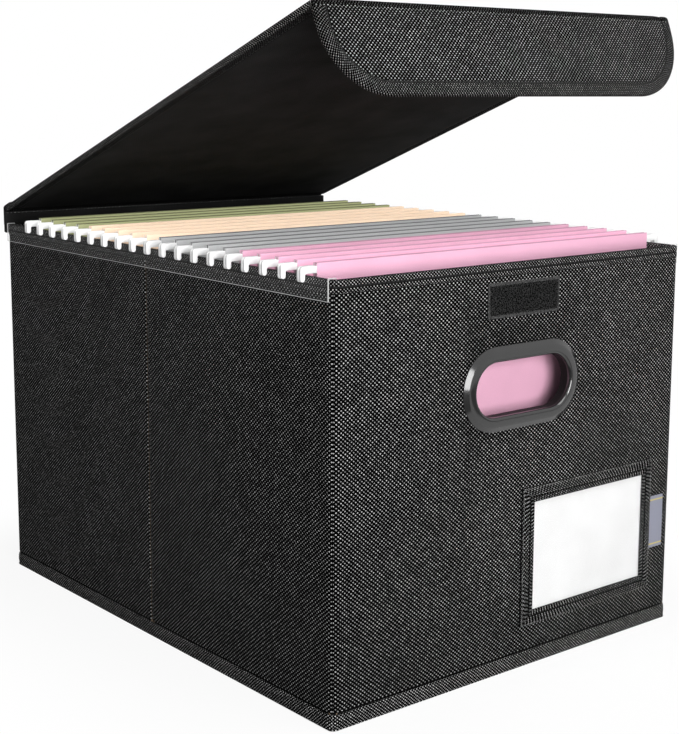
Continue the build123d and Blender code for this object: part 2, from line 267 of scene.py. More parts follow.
@dataclass(frozen=True)
class Woven(Finish):
    """Coarse linen-look cloth: a lattice of raised grains with dark holes between them.

    Across and along are the lattice's pitches, second is the strength of its other diagonal, hole and crown
    are the heights between which a grain rises, and wander is how crooked the threads run. A grain's light is
    at least one value, varies by another, and a few grains glint. Planar lays the pattern out flat instead of
    along the sheet.
    """

    dark: Colour = grey(0.0004)
    light: Colour = grey(0.6)
    across: float = 3.2 * MM
    along: float = 2.67 * MM
    second: float = 0.75
    crossing: float = 0.45
    hole: float = 0.3
    crown: float = 0.95
    wander: float = 0.16
    drift_size: float = 7 * MM
    sway_size: float = 11 * MM
    cloud_size: float = 38 * MM
    cloud: Mark = (0.88, 1.1)
    least: float = 0.42
    vary: float = 0.35
    glint: float = 0.5
    fibre: float = 0.35 * MM
    depth: float = 0.3 * MM
    planar: bool = False

    def coordinates(self, g: Graph) -> Socket:
        """The flat cloth, or the model's frame on a planar piece."""
        return g.object_place() if self.planar else g.sheet_place()

    def wavering(self, g: Graph, place: Socket, size: float) -> Socket:
        """A slow shift of the threads, in threads."""
        return g.times(g.less(g.noise(place, size), 0.5), self.wander * 2)

    def dress(self, g: Graph, place: Socket) -> Material:
        """Lay two crossing waves, keep their crests as grains and light each grain by chance."""
        x, y, _ = g.split(place)
        column = g.times(x, 1.0 / self.across)
        row = g.times(y, 1.0 / self.along)
        drift = self.wavering(g, place, self.drift_size)
        sway = self.wavering(g, place, self.sway_size)
        first = g.add(column, row, drift)
        other = g.add(g.less(column, row), sway)
        waves = [g.math("COSINE", g.times(phase, math.tau)) for phase in (first, other)]
        lattice = g.add(waves[0], g.times(waves[1], self.second), g.times(g.times(*waves), self.crossing))
        height = 1 + self.second
        grain = g.ramp(lattice, self.hole * height, self.crown * height)
        chance = g.cells(g.add(first, 0.5), g.add(other, 0.5))
        glint = g.math("POWER", chance, 3.0)
        lit = g.add(g.times(glint, self.glint), g.times(chance, self.vary), self.least)
        bright = g.times(grain, lit)
        cloudy = g.stretch(g.noise(place, self.cloud_size), *self.cloud)
        colour = g.mix(g.times(bright, cloudy), self.dark, self.light)
        fibre = g.noise(place, self.fibre)
        g.bump(g.add(grain, g.times(fibre, 0.25), g.times(chance, 0.2)), self.depth)
        return g.finish(Base_Color=colour, Roughness=0.85, Specular_IOR_Level=0.02)


@dataclass(frozen=True)
class NonWoven(Finish):
    """Smooth felted lining with a faint pressed dot pattern."""

    colour: Colour = grey(0.02)
    pitch: float = 1.5 * MM

    def dress(self, g: Graph, place: Socket) -> Material:
        """Press dots into a cloudy felt."""
        x, y, z = g.split(place)
        run = g.times(g.add(y, z), math.tau / self.pitch)
        over = g.times(x, math.tau / self.pitch)
        dots = g.ramp(g.times(g.math("COSINE", over), g.math("COSINE", run)), 0.1, 0.9)
        fibre = g.noise(place, 0.5 * MM, 3.0)
        cloud = g.noise(place, 30 * MM)
        shade = g.ramp(g.add(g.times(fibre, 0.5), g.times(cloud, 0.5), g.times(dots, -0.12)), 0.2, 0.75)
        colour = g.mix(shade, toned(self.colour, 0.55), toned(self.colour, 1.5))
        g.bump(g.add(fibre, g.times(dots, -0.6)), 0.12 * MM)
        return g.finish(Base_Color=colour, Roughness=0.9, Specular_IOR_Level=0.05)


@dataclass(frozen=True)
class FileCard(Finish):
    """Matte coloured paper of a hanging folder."""

    colour: Colour

    def dress(self, g: Graph, place: Socket) -> Material:
        """Cloud the colour a little and raise the fibres."""
        fibre = g.noise(place, 0.8 * MM, 4.0)
        cloud = g.noise(place, 25 * MM)
        shade = g.stretch(g.add(g.times(fibre, 0.45), g.times(cloud, 0.55)))
        g.bump(fibre, 0.03 * MM, 0.6)
        colour = g.mix(shade, toned(self.colour, 0.94), toned(self.colour, 1.03))
        return g.finish(Base_Color=colour, Roughness=0.75, Specular_IOR_Level=0.2)


@dataclass(frozen=True)
class Moulded(Finish):
    """Injection-moulded plastic with a faint waviness in its surface."""

    colour: Colour
    roughness: float
    gloss: float = 0.5

    def dress(self, g: Graph, place: Socket) -> Material:
        """Vary the colour and the polish along the flow of the plastic."""
        flow = g.noise(place, 7 * MM)
        speck = g.noise(place, 0.4 * MM)
        shade = g.stretch(flow)
        colour = g.mix(shade, toned(self.colour, 0.96), self.colour)
        rough = g.ramp(speck, 0.25, 0.75, self.roughness * 0.8, self.roughness * 1.25)
        g.bump(g.add(flow, g.times(speck, 0.08)), 0.05 * MM, 0.5)
        return g.finish(Base_Color=colour, Roughness=rough, Specular_IOR_Level=self.gloss)


@dataclass(frozen=True)
class Clear(Finish):
    """Clear plastic that is seen through, with a little haze; glow is the strength of a painted glow of its
    own.
    """

    alpha: float
    roughness: float = 0.12
    glow: float = 0.0

    def dress(self, g: Graph, place: Socket) -> Material:
        """Give the plastic a slow wave and uneven polish."""
        wave = g.noise(place, 14 * MM)
        rough = g.stretch(g.noise(place, 0.9 * MM, 3.0), self.roughness * 0.7, self.roughness * 1.4)
        haze = g.mix(g.stretch(wave), grey(0.72), grey(0.82))
        g.bump(wave, 0.06 * MM, 0.4)
        return g.finish(Base_Color=haze, Roughness=rough, Alpha=self.alpha, Emission_Color=grey(1.0),
                        Emission_Strength=self.glow)


@dataclass(frozen=True)
class Thread(Finish):
    """Twisted sewing thread."""

    colour: Colour = grey(0.012)
    twist: float = 0.5 * MM

    def dress(self, g: Graph, place: Socket) -> Material:
        """Wind light and dark round the thread."""
        x, y, z = g.split(place)
        shade = g.wave(g.add(x, y, z), self.twist)
        colour = g.mix(shade, toned(self.colour, 0.5), toned(self.colour, 1.6))
        g.bump(shade, 0.08 * MM)
        return g.finish(Base_Color=colour, Roughness=0.5, Specular_IOR_Level=0.3)


@dataclass(frozen=True)
class Fuzz(Finish):
    """Nylon loops or hooks of the closure, and the tape that they stand on."""

    colour: Colour
    tuft: float

    def dress(self, g: Graph, place: Socket) -> Material:
        """Break the surface up into tufts with dark gaps."""
        tuft = g.noise(place, self.tuft)
        colour = g.mix(g.ramp(tuft, 0.46, 0.56), toned(self.colour, 0.02), self.colour)
        g.bump(g.noise(place, 0.4 * MM), 0.15 * MM)
        return g.finish(Base_Color=colour, Roughness=0.85, Specular_IOR_Level=0.03)


@dataclass(frozen=True)
class Ribbon(Finish):
    """Fine ribbed ribbon with a line woven along each edge, low and high being the heights of its edges."""

    colour: Colour
    edge: Colour
    low: float
    high: float
    rib: float = 0.7 * MM
    warp: float = 0.55 * MM
    line: float = 2.6 * MM

    def dress(self, g: Graph, place: Socket) -> Material:
        """Cross the ribs with the warp and lay a line along both edges."""
        x, _, z = g.split(place)
        rib, warp = g.wave(z, self.rib), g.wave(x, self.warp)
        body = g.mix(g.times(rib, warp), toned(self.colour, 0.8), self.colour)
        lines = (self.low + self.line, self.high - self.line)
        gaps = [g.math("ABSOLUTE", g.less(z, line)) for line in lines]
        stripe = g.ramp(g.math("MINIMUM", *gaps), 0.35 * MM, 0.6 * MM, 1.0, 0.0)
        g.bump(g.add(rib, warp), 0.08 * MM)
        return g.finish(Base_Color=g.mix(stripe, body, self.edge), Roughness=0.55, Specular_IOR_Level=0.3)


@dataclass(frozen=True)
class FibreBoard(Finish):
    """Brown pressed board inside the panels."""

    colour: Colour = (0.3, 0.22, 0.15)

    def dress(self, g: Graph, place: Socket) -> Material:
        """Fleck the board."""
        fleck = g.noise(place, 2 * MM, 4.0)
        colour = g.mix(g.stretch(fleck), toned(self.colour, 0.7), self.colour)
        g.bump(fleck, 0.1 * MM)
        return g.finish(Base_Color=colour, Roughness=0.8)


class Finishes:
    """Every material of the object, built once."""

    def __init__(self, tag: tuple[Vector, Vector]) -> None:
        """Build the materials.

        Args:
            tag: the lowest and highest corners of the side tag, which its woven edges follow.
        """
        self.cloth = Woven("coarse_cloth").material()
        self.flap_cloth = Woven("flap_cloth", across=2.8 * MM, second=0.9).material()
        # painted shade: the darkest of these tapes is the binding tape darkened to stand for shade on the
        # rim's crest, under the bound edges and round the fold's crest
        self.tape, self.edge_tape, self.lid_tape, self.dark_tape, self.trim = (
            Woven(name, light=grey(light), across=across * MM, along=along * MM, second=second).material()
            for name, light, across, along, second in (
                ("binding_tape", 0.62, 2.5, 2.2, 0.35), ("edge_tape", 0.4, 2.1, 2.3, 0.3),
                ("lid_tape", 0.6, 2.1, 2.3, 0.3), ("dark_tape", 0.14, 2.1, 2.3, 0.3),
                ("pocket_cloth", 0.5, 2.9, 2.5, 0.3)))
        # painted shadow: these two near-black felts are laid in grooves and along the feet of the hem and the
        # pocket's frame, where shade falls
        self.seam = NonWoven("seam_shadow", grey(0.003)).material()
        self.soft_seam = NonWoven("soft_seam_shadow", grey(0.012)).material()
        self.flat_cloth = Woven("base_cloth", planar=True).material()
        self.lining = NonWoven("lining", grey(0.018)).material()
        self.board = FibreBoard("fibre_board").material()
        self.grip = Moulded("black_plastic", grey(0.016), 0.12, gloss=0.7).material()
        self.sleeve = Moulded("matt_black_plastic", grey(0.006), 0.6, gloss=0.12).material()
        self.hook = Moulded("white_plastic", grey(0.93), 0.4).material()
        self.clear = Clear("clear_plastic", 0.03).material()
        # painted glow: the rail's cut edges give off a little light of their own, though they are no lamp
        self.glowing_clear_edge = Clear("glowing_clear_edge", 0.6, 0.35, 0.04).material()
        self.film = Clear("clear_film", 0.06, 0.1).material()
        self.card = FileCard("white_card", grey(0.85)).material()
        self.thread = Thread("black_thread").material()
        self.pale_thread = Thread("grey_thread", grey(0.16)).material()
        self.pile = Fuzz("loop_pile", grey(0.038), 0.9 * MM).material()
        self.selvedge = Fuzz("tape_selvedge", grey(0.12), 0.3 * MM).material()
        self.ribbon = Ribbon("grey_ribbon", (0.33, 0.34, 0.42), (0.6, 0.5, 0.16),
                             tag[0].z, tag[1].z).material()


# --- Meshes ---
def stand(name: str, data: bpy.types.ID) -> Object:
    """Make an object and link it to the scene."""
    made = bpy.data.objects.new(name, data)
    bpy.context.scene.collection.objects.link(made)
    return made


def worked_out(piece: Object, modifier: bpy.types.Modifier) -> bpy.types.Mesh:
    """The mesh that a modifier makes of a piece, which is then rid of the modifier."""
    mesh = bpy.data.meshes.new_from_object(piece.evaluated_get(bpy.context.evaluated_depsgraph_get()))
    piece.modifiers.remove(modifier)
    return mesh


def front_view(node: str) -> tuple[Mark, Mark]:
    """The middle and the half sizes of a CAD node, seen from the front."""
    low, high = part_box(node)
    return ((low.x + high.x) / 2, (low.z + high.z) / 2), ((high.x - low.x) / 2, (high.z - low.z) / 2)


def near(x: float, y: float, *steps: Mark) -> list[Mark]:
    """Points at steps in millimetres from a spot."""
    return [(x + a * MM, y + b * MM) for a, b in steps]


def run_lengths(path: Sequence[Mark]) -> list[float]:
    """How far along a path each of its points lies."""
    lengths = [0.0]
    for first, second in zip(path, path[1:]):
        lengths.append(lengths[-1] + math.dist(first, second))
    return lengths


@dataclass
class Skin:
    """Vertices, faces, sheet coordinates and material numbers of a mesh in the making."""

    points: list[Vector] = field(default_factory=list)
    faces: list[tuple[int, ...]] = field(default_factory=list)
    sheet: list[list[Mark]] = field(default_factory=list)
    paints: list[int] = field(default_factory=list)

    def face(self, corners: Sequence[int], sheet: Sequence[Mark], paint: int = 0) -> None:
        """Add a face with its sheet coordinates and material number."""
        self.faces.append(tuple(corners))
        self.sheet.append(list(sheet))
        self.paints.append(paint)

    def piece(self, name: str, materials: Sequence[Material], sharp: float = 40.0) -> Object:
        """Make the object.

        Args:
            name: the piece's name.
            materials: its material slots.
            sharp: edges turning by more degrees than this stay sharp.

        Returns:
            The object, linked to the scene, with its faces outward.
        """
        mesh = bpy.data.meshes.new(name)
        mesh.from_pydata([tuple(p) for p in self.points], [], self.faces)
        layer = mesh.uv_layers.new(name=UV_NAME)
        layer.data.foreach_set("uv", [n for face in self.sheet for pair in face for n in pair])
        mesh.polygons.foreach_set("material_index", self.paints)
        for material in materials:
            mesh.materials.append(material)
        work = bmesh.new()
        work.from_mesh(mesh)
        bmesh.ops.remove_doubles(work, verts=work.verts, dist=WELD)
        bmesh.ops.recalc_face_normals(work, faces=work.faces)
        work.to_mesh(mesh)
        work.free()
        mesh.shade_smooth()
        mesh.set_sharp_from_angle(angle=math.radians(sharp))
        return stand(name, mesh)


def square(name: str, corners: Sequence[Vector], material: Material) -> Object:
    """A plain four-sided sheet."""
    skin = Skin(list(corners))
    skin.face(range(4), [(0, 0), (1, 0), (1, 1), (0, 1)])
    return skin.piece(name, [material])


def arc(centre: Mark, radius: float, start: float, end: float, steps: int) -> list[Mark]:
    """Points of an arc, angles in degrees, both ends included."""
    turns = [math.radians(start + (end - start) * i / steps) for i in range(steps + 1)]
    return [(centre[0] + radius * math.cos(t), centre[1] + radius * math.sin(t)) for t in turns]


@dataclass(frozen=True)
class Outline:
    """A rectangle with rounded corners, centred on a point, that can be drawn at any inset.

    Corners are given from the lower left, anticlockwise. Sides are lower, right, upper and left. Step is
    about how far apart the points of a straight side lie, marks are more points of the right and left sides,
    and sharpest is the least radius of a corner at any inset.
    """

    half_width: float
    half_height: float
    radii: tuple[float, float, float, float]
    centre: Mark = (0.0, 0.0)
    corner_steps: int = 8
    step: float = 0.03
    marks: tuple[float, ...] = ()
    sharpest: float = 0.25 * MM

    def halves(self, side: int) -> Mark:
        """Half the length of a side, and how far the side lies from the middle."""
        sizes = (self.half_width, self.half_height)
        return (sizes[side % 2], sizes[1 - side % 2])

    def along_sides(self) -> list[tuple[int, float, float, int]]:
        """The outline's stations.

        Returns:
            For each point its side, its distance from the side's middle, its turn in degrees from the side's
            own direction, and the number of its corner (-1 on the straight part).
        """
        stations = []
        for side in range(4):
            half, _ = self.halves(side)
            first, last = self.radii[side], self.radii[(side + 1) % 4]
            start, end = -half + first, half - last
            count = max(1, round((end - start) / self.step))
            stops = {round(start + (end - start) * i / count, 7) for i in range(count + 1)}
            stops |= {round(mark, 7) for mark in self.marks if start < mark < end and side % 2 == 1}
            stations += [(side, stop, 0.0, -1) for stop in sorted(stops)]
            turns = [90.0 * i / self.corner_steps for i in range(1, self.corner_steps)]
            stations += [(side, end, turn, (side + 1) % 4) for turn in turns]
        return stations

    def ring(self, inset: float) -> list[Mark]:
        """The outline's points at an inset.

        Args:
            inset: how far inside the outline.

        Returns:
            The points in the order of along_sides.
        """
        points = []
        for side, stop, turn, corner in self.along_sides():
            half, off = self.halves(side)
            if corner < 0:
                first, last = self.radii[side], self.radii[(side + 1) % 4]
                low = -half + max(first, inset + self.sharpest)
                high = half - max(last, inset + self.sharpest)
                span = (half - last) - (-half + first)
                share = (stop - (-half + first)) / span
                local = (low + (high - low) * share, -off + inset)
            else:
                radius = max(self.radii[corner] - inset, self.sharpest)
                middle = half - inset - radius
                t = math.radians(turn)
                local = (middle + radius * math.sin(t), -off + inset + radius * (1 - math.cos(t)))
            points.append(self.turned(local, side))
        return points

    def turned(self, local: Mark, side: int) -> Mark:
        """A point given along and across a side, in the outline's own plane."""
        a, b = local
        spun = ((a, b), (-b, a), (-a, -b), (b, -a))[side]
        return (self.centre[0] + spun[0], self.centre[1] + spun[1])

    def strips(self, mirrored: Sequence[bool]) -> list[Mark]:
        """The cloth coordinate at both ends of each segment.

        Args:
            mirrored: for each side, whether the cloth runs the other way.

        Returns:
            A pair for each segment, measured along the side that the segment belongs to.
        """
        stations = self.along_sides()
        pairs = []
        for number, (side, stop, turn, corner) in enumerate(stations):
            after = stations[(number + 1) % len(stations)]
            length = self.radii[corner] if corner >= 0 else self.radii[(side + 1) % 4]
            here = stop + math.radians(turn) * length
            if after[0] == side:
                there = after[1] + math.radians(after[2]) * length
            else:
                there = stop + math.radians(90.0) * length
            if turn >= 45.0:
                side = (side + 1) % 4
                begin = -self.halves(side)[0] + self.radii[side]
                here = begin - math.radians(90.0 - turn) * length
                following = after[2] if after[0] != side else 90.0
                there = begin - math.radians(90.0 - following) * length
            sign = -1.0 if mirrored[side] else 1.0
            pairs.append((sign * here, sign * there))
        return pairs


@dataclass(frozen=True)
class Loft:
    """Rings of an outline at the insets and heights of a profile, joined into a skin.

    Mirrored tells on which sides the cloth runs the other way. Paints give each row's material number, and
    caps those of the faces that close the first and the last ring. Relief is how far a point sinks sideways
    towards the middle, and plain are the rows whose sheet coordinates are the outline's own.
    """

    outline: Outline
    profile: Sequence[Mark]
    place: Place
    closed: bool = False
    mirrored: tuple[bool, bool, bool, bool] = (False, True, False, True)
    paints: Sequence[int] = ()
    caps: tuple[int, int] | None = None
    relief: Callable[[float, float, float], float] | None = None
    plain: frozenset[int] = frozenset()

    def skin(self) -> Skin:
        """Build the skin.

        Returns:
            The skin; the rows named in plain take their sheet coordinates from the outline's plane.
        """
        made = Skin()
        rows = len(self.profile)
        for inset, height in self.profile:
            for a, b in self.outline.ring(inset):
                sink = self.relief(a, b, height) if self.relief else 0.0
                made.points.append(self.place(a - math.copysign(sink, a), b, height))
        width = len(made.points) // rows
        strips = self.outline.strips(self.mirrored)
        lengths = run_lengths(self.profile)
        spans = list(range(rows - 1)) + ([rows - 1] if self.closed else [])
        for row in spans:
            above = (row + 1) % rows
            v0 = lengths[row]
            v1 = lengths[above] if above else v0 + 1.0 * MM
            paint = self.paints[row] if self.paints else 0
            for column in range(width):
                beside = (column + 1) % width
                u0, u1 = strips[column]
                first, second = row * width, above * width
                corners = (first + column, first + beside, second + beside, second + column)
                if row in self.plain:
                    outer, inner = (self.outline.ring(self.profile[number][0]) for number in (row, above))
                    made.face(corners, (outer[column], outer[beside], inner[beside], inner[column]), paint)
                else:
                    made.face(corners, ((u0, v0), (u1, v0), (u1, v1), (u0, v1)), paint)
        if self.caps:
            for row, paint, order in ((0, self.caps[0], -1), (rows - 1, self.caps[1], 1)):
                ring = self.outline.ring(self.profile[row][0])[::order]
                numbers = list(range(row * width, (row + 1) * width))[::order]
                made.face(numbers, ring, paint)
        return made


def mitre(before: Mark | None, here: Mark, after: Mark | None, least: float) -> tuple[Vector, float]:
    """How a corner moves when both its sides move to their left.

    Args:
        before: the corner before it, if any.
        here: the corner.
        after: the corner after it, if any.
        least: the smallest share to return, which keeps a sharp corner from running off.

    Returns:
        The way that the corner goes, and how far the sides go while it goes 1.
    """
    spans = [(p, q) for p, q in ((before, here), (here, after)) if p and q]
    first, second = (Vector((q[0] - p[0], q[1] - p[1])).normalized() for p, q in (spans[0], spans[-1]))
    left = Vector((-first.y, first.x))
    way = Vector((-first.y - second.y, first.x + second.x))
    way = way.normalized() if way.length > 1e-9 else left
    return way, max(least, way.dot(left))


def shrink(polygon: Sequence[Mark], distance: float) -> list[Mark]:
    """A closed polygon whose sides have moved inwards.

    Args:
        polygon: its corners, anticlockwise.
        distance: how far each side moves.

    Returns:
        The corners in the same order.
    """
    moved = []
    for i, (x, y) in enumerate(polygon):
        way, share = mitre(polygon[i - 1], (x, y), polygon[(i + 1) % len(polygon)], least=0.35)
        reach = distance / share
        moved.append((x + way.x * reach, y + way.y * reach))
    return moved


def thicken(path: Sequence[Mark], thickness: float) -> list[Mark]:
    """The section of a sheet.

    Args:
        path: what the sheet's middle follows.
        thickness: of the sheet.

    Returns:
        The closed section: the path's right side, then its left side backwards.
    """
    left, right = [], []
    for before, (x, y), after in zip([None, *path], path, [*path[1:], None]):
        way, share = mitre(before, (x, y), after, least=0.5)
        reach = thickness / 2 / share
        left.append((x + way.x * reach, y + way.y * reach))
        right.append((x - way.x * reach, y - way.y * reach))
    return right + left[::-1]


@dataclass(frozen=True)
class Extrusion:
    """A closed section carried along a line, with ends that may be smaller than its middle.

    Rings give the place along the line and how far the section shrinks there. Paints give a material number
    for each side of the section, cap_paint for the ends and end_paint for the sides next to them.
    """

    section: Sequence[Mark]
    rings: Sequence[Mark]
    place: Place
    paints: Sequence[int] = ()
    cap_paint: int = 0
    end_paint: int | None = None

    def skin(self, made: Skin | None = None) -> Skin:
        """Build the skin.

        Args:
            made: a skin to add it to, if any.

        Returns:
            The skin.
        """
        made = made or Skin()
        base = len(made.points)
        count = len(self.section)
        for along, inset in self.rings:
            made.points += [self.place(along, p, q) for p, q in shrink(self.section, inset)]
        run = run_lengths([*self.section, self.section[0]])
        last = len(self.rings) - 2
        for row in range(last + 1):
            u0, u1 = self.rings[row][0], self.rings[row + 1][0]
            for i in range(count):
                j = (i + 1) % count
                low, high = base + row * count, base + (row + 1) * count
                colour = self.paints[i] if self.paints else 0
                if self.end_paint is not None and row in (0, last) and last > 0:
                    colour = self.end_paint
                sheet = ((u0, run[i]), (u1, run[i]), (u1, run[i + 1]), (u0, run[i + 1]))
                made.face((low + i, high + i, high + j, low + j), sheet, colour)
        for row, order in ((0, 1), (len(self.rings) - 1, -1)):
            numbers = [base + row * count + i for i in range(count)][::order]
            made.face(numbers, list(self.section)[::order], self.cap_paint)
        return made


def soft_ends(low: float, high: float, bevel: float, stops: int = 1) -> list[Mark]:
    """Rings from one end to the other with a small bevel at both."""
    inner = [low + bevel + (high - low - 2 * bevel) * i / stops for i in range(stops + 1)]
    return [(low, bevel), *((stop, 0.0) for stop in inner), (high, bevel)]


def upright(x: float, y: float, z: float) -> Vector:
    """A place in the model's own frame."""
    return Vector((x, y, z))


def ring_path(outline: Outline, inset: float, height: float, place: Place) -> list[Vector]:
    """A closed path along an outline, for stitches."""
    return [place(a, b, height) for a, b in outline.ring(inset)]


# --- Geometry Nodes for what repeats ---
class NodeKit(Tree):
    """A Geometry Nodes tree in the making."""

    prefix = ""

    def __init__(self, name: str, **inputs: str) -> None:
        """Start a tree with named inputs after its geometry.

        Args:
            name: the tree's name.
            inputs: the kind of socket for each name.
        """
        super().__init__(bpy.data.node_groups.new(name, "GeometryNodeTree"))
        self.socket("Geometry", "Geometry")
        self.keys = {label: self.socket(label, kind) for label, kind in inputs.items()}
        self.socket("Geometry", "Geometry", "OUTPUT")
        self.given = self.node("NodeGroupInput").outputs
        self.result = self.node("NodeGroupOutput").inputs[0]

    def socket(self, label: str, kind: str, end: str = "INPUT") -> str:
        """Add a socket to the tree's ends and return its identifier."""
        made = self.tree.interface.new_socket(label, in_out=end, socket_type="NodeSocket" + kind)
        return made.identifier

    def chance(self, low: float, high: float, seed: int | Socket) -> Socket:
        """A random number from low to high."""
        given = {2: low, 3: high, "Seed": seed}
        return self.node("FunctionNodeRandomValue", given, data_type="FLOAT").outputs[1]

    def end(self, points: Socket, shape: bpy.types.Node, turn: bpy.types.Node, scale: Socket) -> None:
        """Put a shape on every point, realize it, set its material and close the tree.

        Args:
            points: where it goes.
            shape: the node that makes it.
            turn: the node that turns it.
            scale: its size.
        """
        spread = self.node("GeometryNodeInstanceOnPoints", {
            "Points": points, "Instance": shape.outputs[0], "Rotation": turn.outputs[0], "Scale": scale})
        real = self.node("GeometryNodeRealizeInstances", {0: spread.outputs[0]})
        dressed = self.node("GeometryNodeSetMaterial", {
            "Geometry": real.outputs[0], "Material": self.given["Material"]})
        self.feed(self.result, dressed.outputs[0])

    def grow(self, name: str, base: bpy.types.Mesh, values: dict[str, object]) -> Object:
        """Run the tree on a mesh and keep the result as a plain mesh.

        Args:
            name: the piece's name.
            base: what the tree works on.
            values: the inputs by name.

        Returns:
            The finished object.
        """
        carrier = stand(name + "_path", base)
        modifier = carrier.modifiers.new("grow", "NODES")
        modifier.node_group = self.tree
        for label, value in values.items():
            modifier[self.keys[label]] = value
        mesh = worked_out(carrier, modifier)
        bpy.data.objects.remove(carrier)
        mesh.name = name
        mesh.shade_smooth()
        return stand(name, mesh)


class Stitcher:
    """Rows of stitches that follow a path."""

    def __init__(self, thread: Material) -> None:
        """Build the tree.

        Args:
            thread: the thread's material.
        """
        self.thread = thread
        kit = NodeKit("stitch_row", Pitch="Float", Length="Float", Thickness="Float", Material="Material")
        curve = kit.node("GeometryNodeMeshToCurve", {"Mesh": kit.given["Geometry"]})
        spaced = kit.node("GeometryNodeResampleCurve", {
            "Curve": curve.outputs[0], "Length": kit.given["Pitch"]}, mode="LENGTH")
        stitch = kit.node("GeometryNodeMeshUVSphere", {"Segments": 7, "Rings": 5, "Radius": 0.5})
        size = kit.node("ShaderNodeCombineXYZ", dict(zip("XYZ", (
            kit.given[label] for label in ("Thickness", "Thickness", "Length")))))
        tangent = kit.node("GeometryNodeInputTangent")
        turn = kit.node("FunctionNodeAlignRotationToVector", {"Vector": tangent.outputs[0]}, axis="Z")
        kit.end(spaced.outputs[0], stitch, turn, size.outputs[0])
        self.kit = kit

    def row(self, name: str, path: Sequence[Vector], body: str, slot: str, closed: bool = True,
            pitch: float = 3.6 * MM, length: float = 2.8 * MM, thickness: float = 0.55 * MM) -> Object:
        """Sew one row.

        Args:
            name: the piece's name.
            path: the points that the row follows.
            body: the body that it rides on.
            slot: the record's slot of what it is sewn to.
            closed: whether the path returns to its start.
            pitch: from one stitch to the next.
            length: of a stitch.
            thickness: of the thread.

        Returns:
            The row of stitches.
        """
        base = bpy.data.meshes.new(name + "_path")
        count = len(path)
        edges = [(i, (i + 1) % count) for i in range(count if closed else count - 1)]
        base.from_pydata([tuple(p) for p in path], edges, [])
        made = self.kit.grow(name, base, {
            "Pitch": pitch, "Length": length, "Thickness": thickness, "Material": self.thread})
        return settle(made, body, slot)


def settle(piece: Object, body: str, slot: str, *nodes: str) -> Object:
    """Let a piece ride on a body, and report it.

    Args:
        piece: the piece.
        body: the body.
        slot: the record's slot of its material, which is not used.
        nodes: the CAD nodes that it stands for.

    Returns:
        The piece.
    """
    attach(piece, body)
    if nodes:
        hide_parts(*nodes)
    LOG.info("%s rides on %s (%d faces)", piece.name, body, len(piece.data.polygons))
    return piece


def cut(piece: Object, cutter: Object) -> None:
    """Cut one solid out of another.

    Args:
        piece: the solid that stays.
        cutter: the solid that is taken out of it and deleted.
    """
    modifier = piece.modifiers.new("cut", "BOOLEAN")
    modifier.operation = "DIFFERENCE"
    modifier.solver = "EXACT"
    modifier.object = cutter
    piece.data = worked_out(piece, modifier)
    bpy.data.objects.remove(cutter)


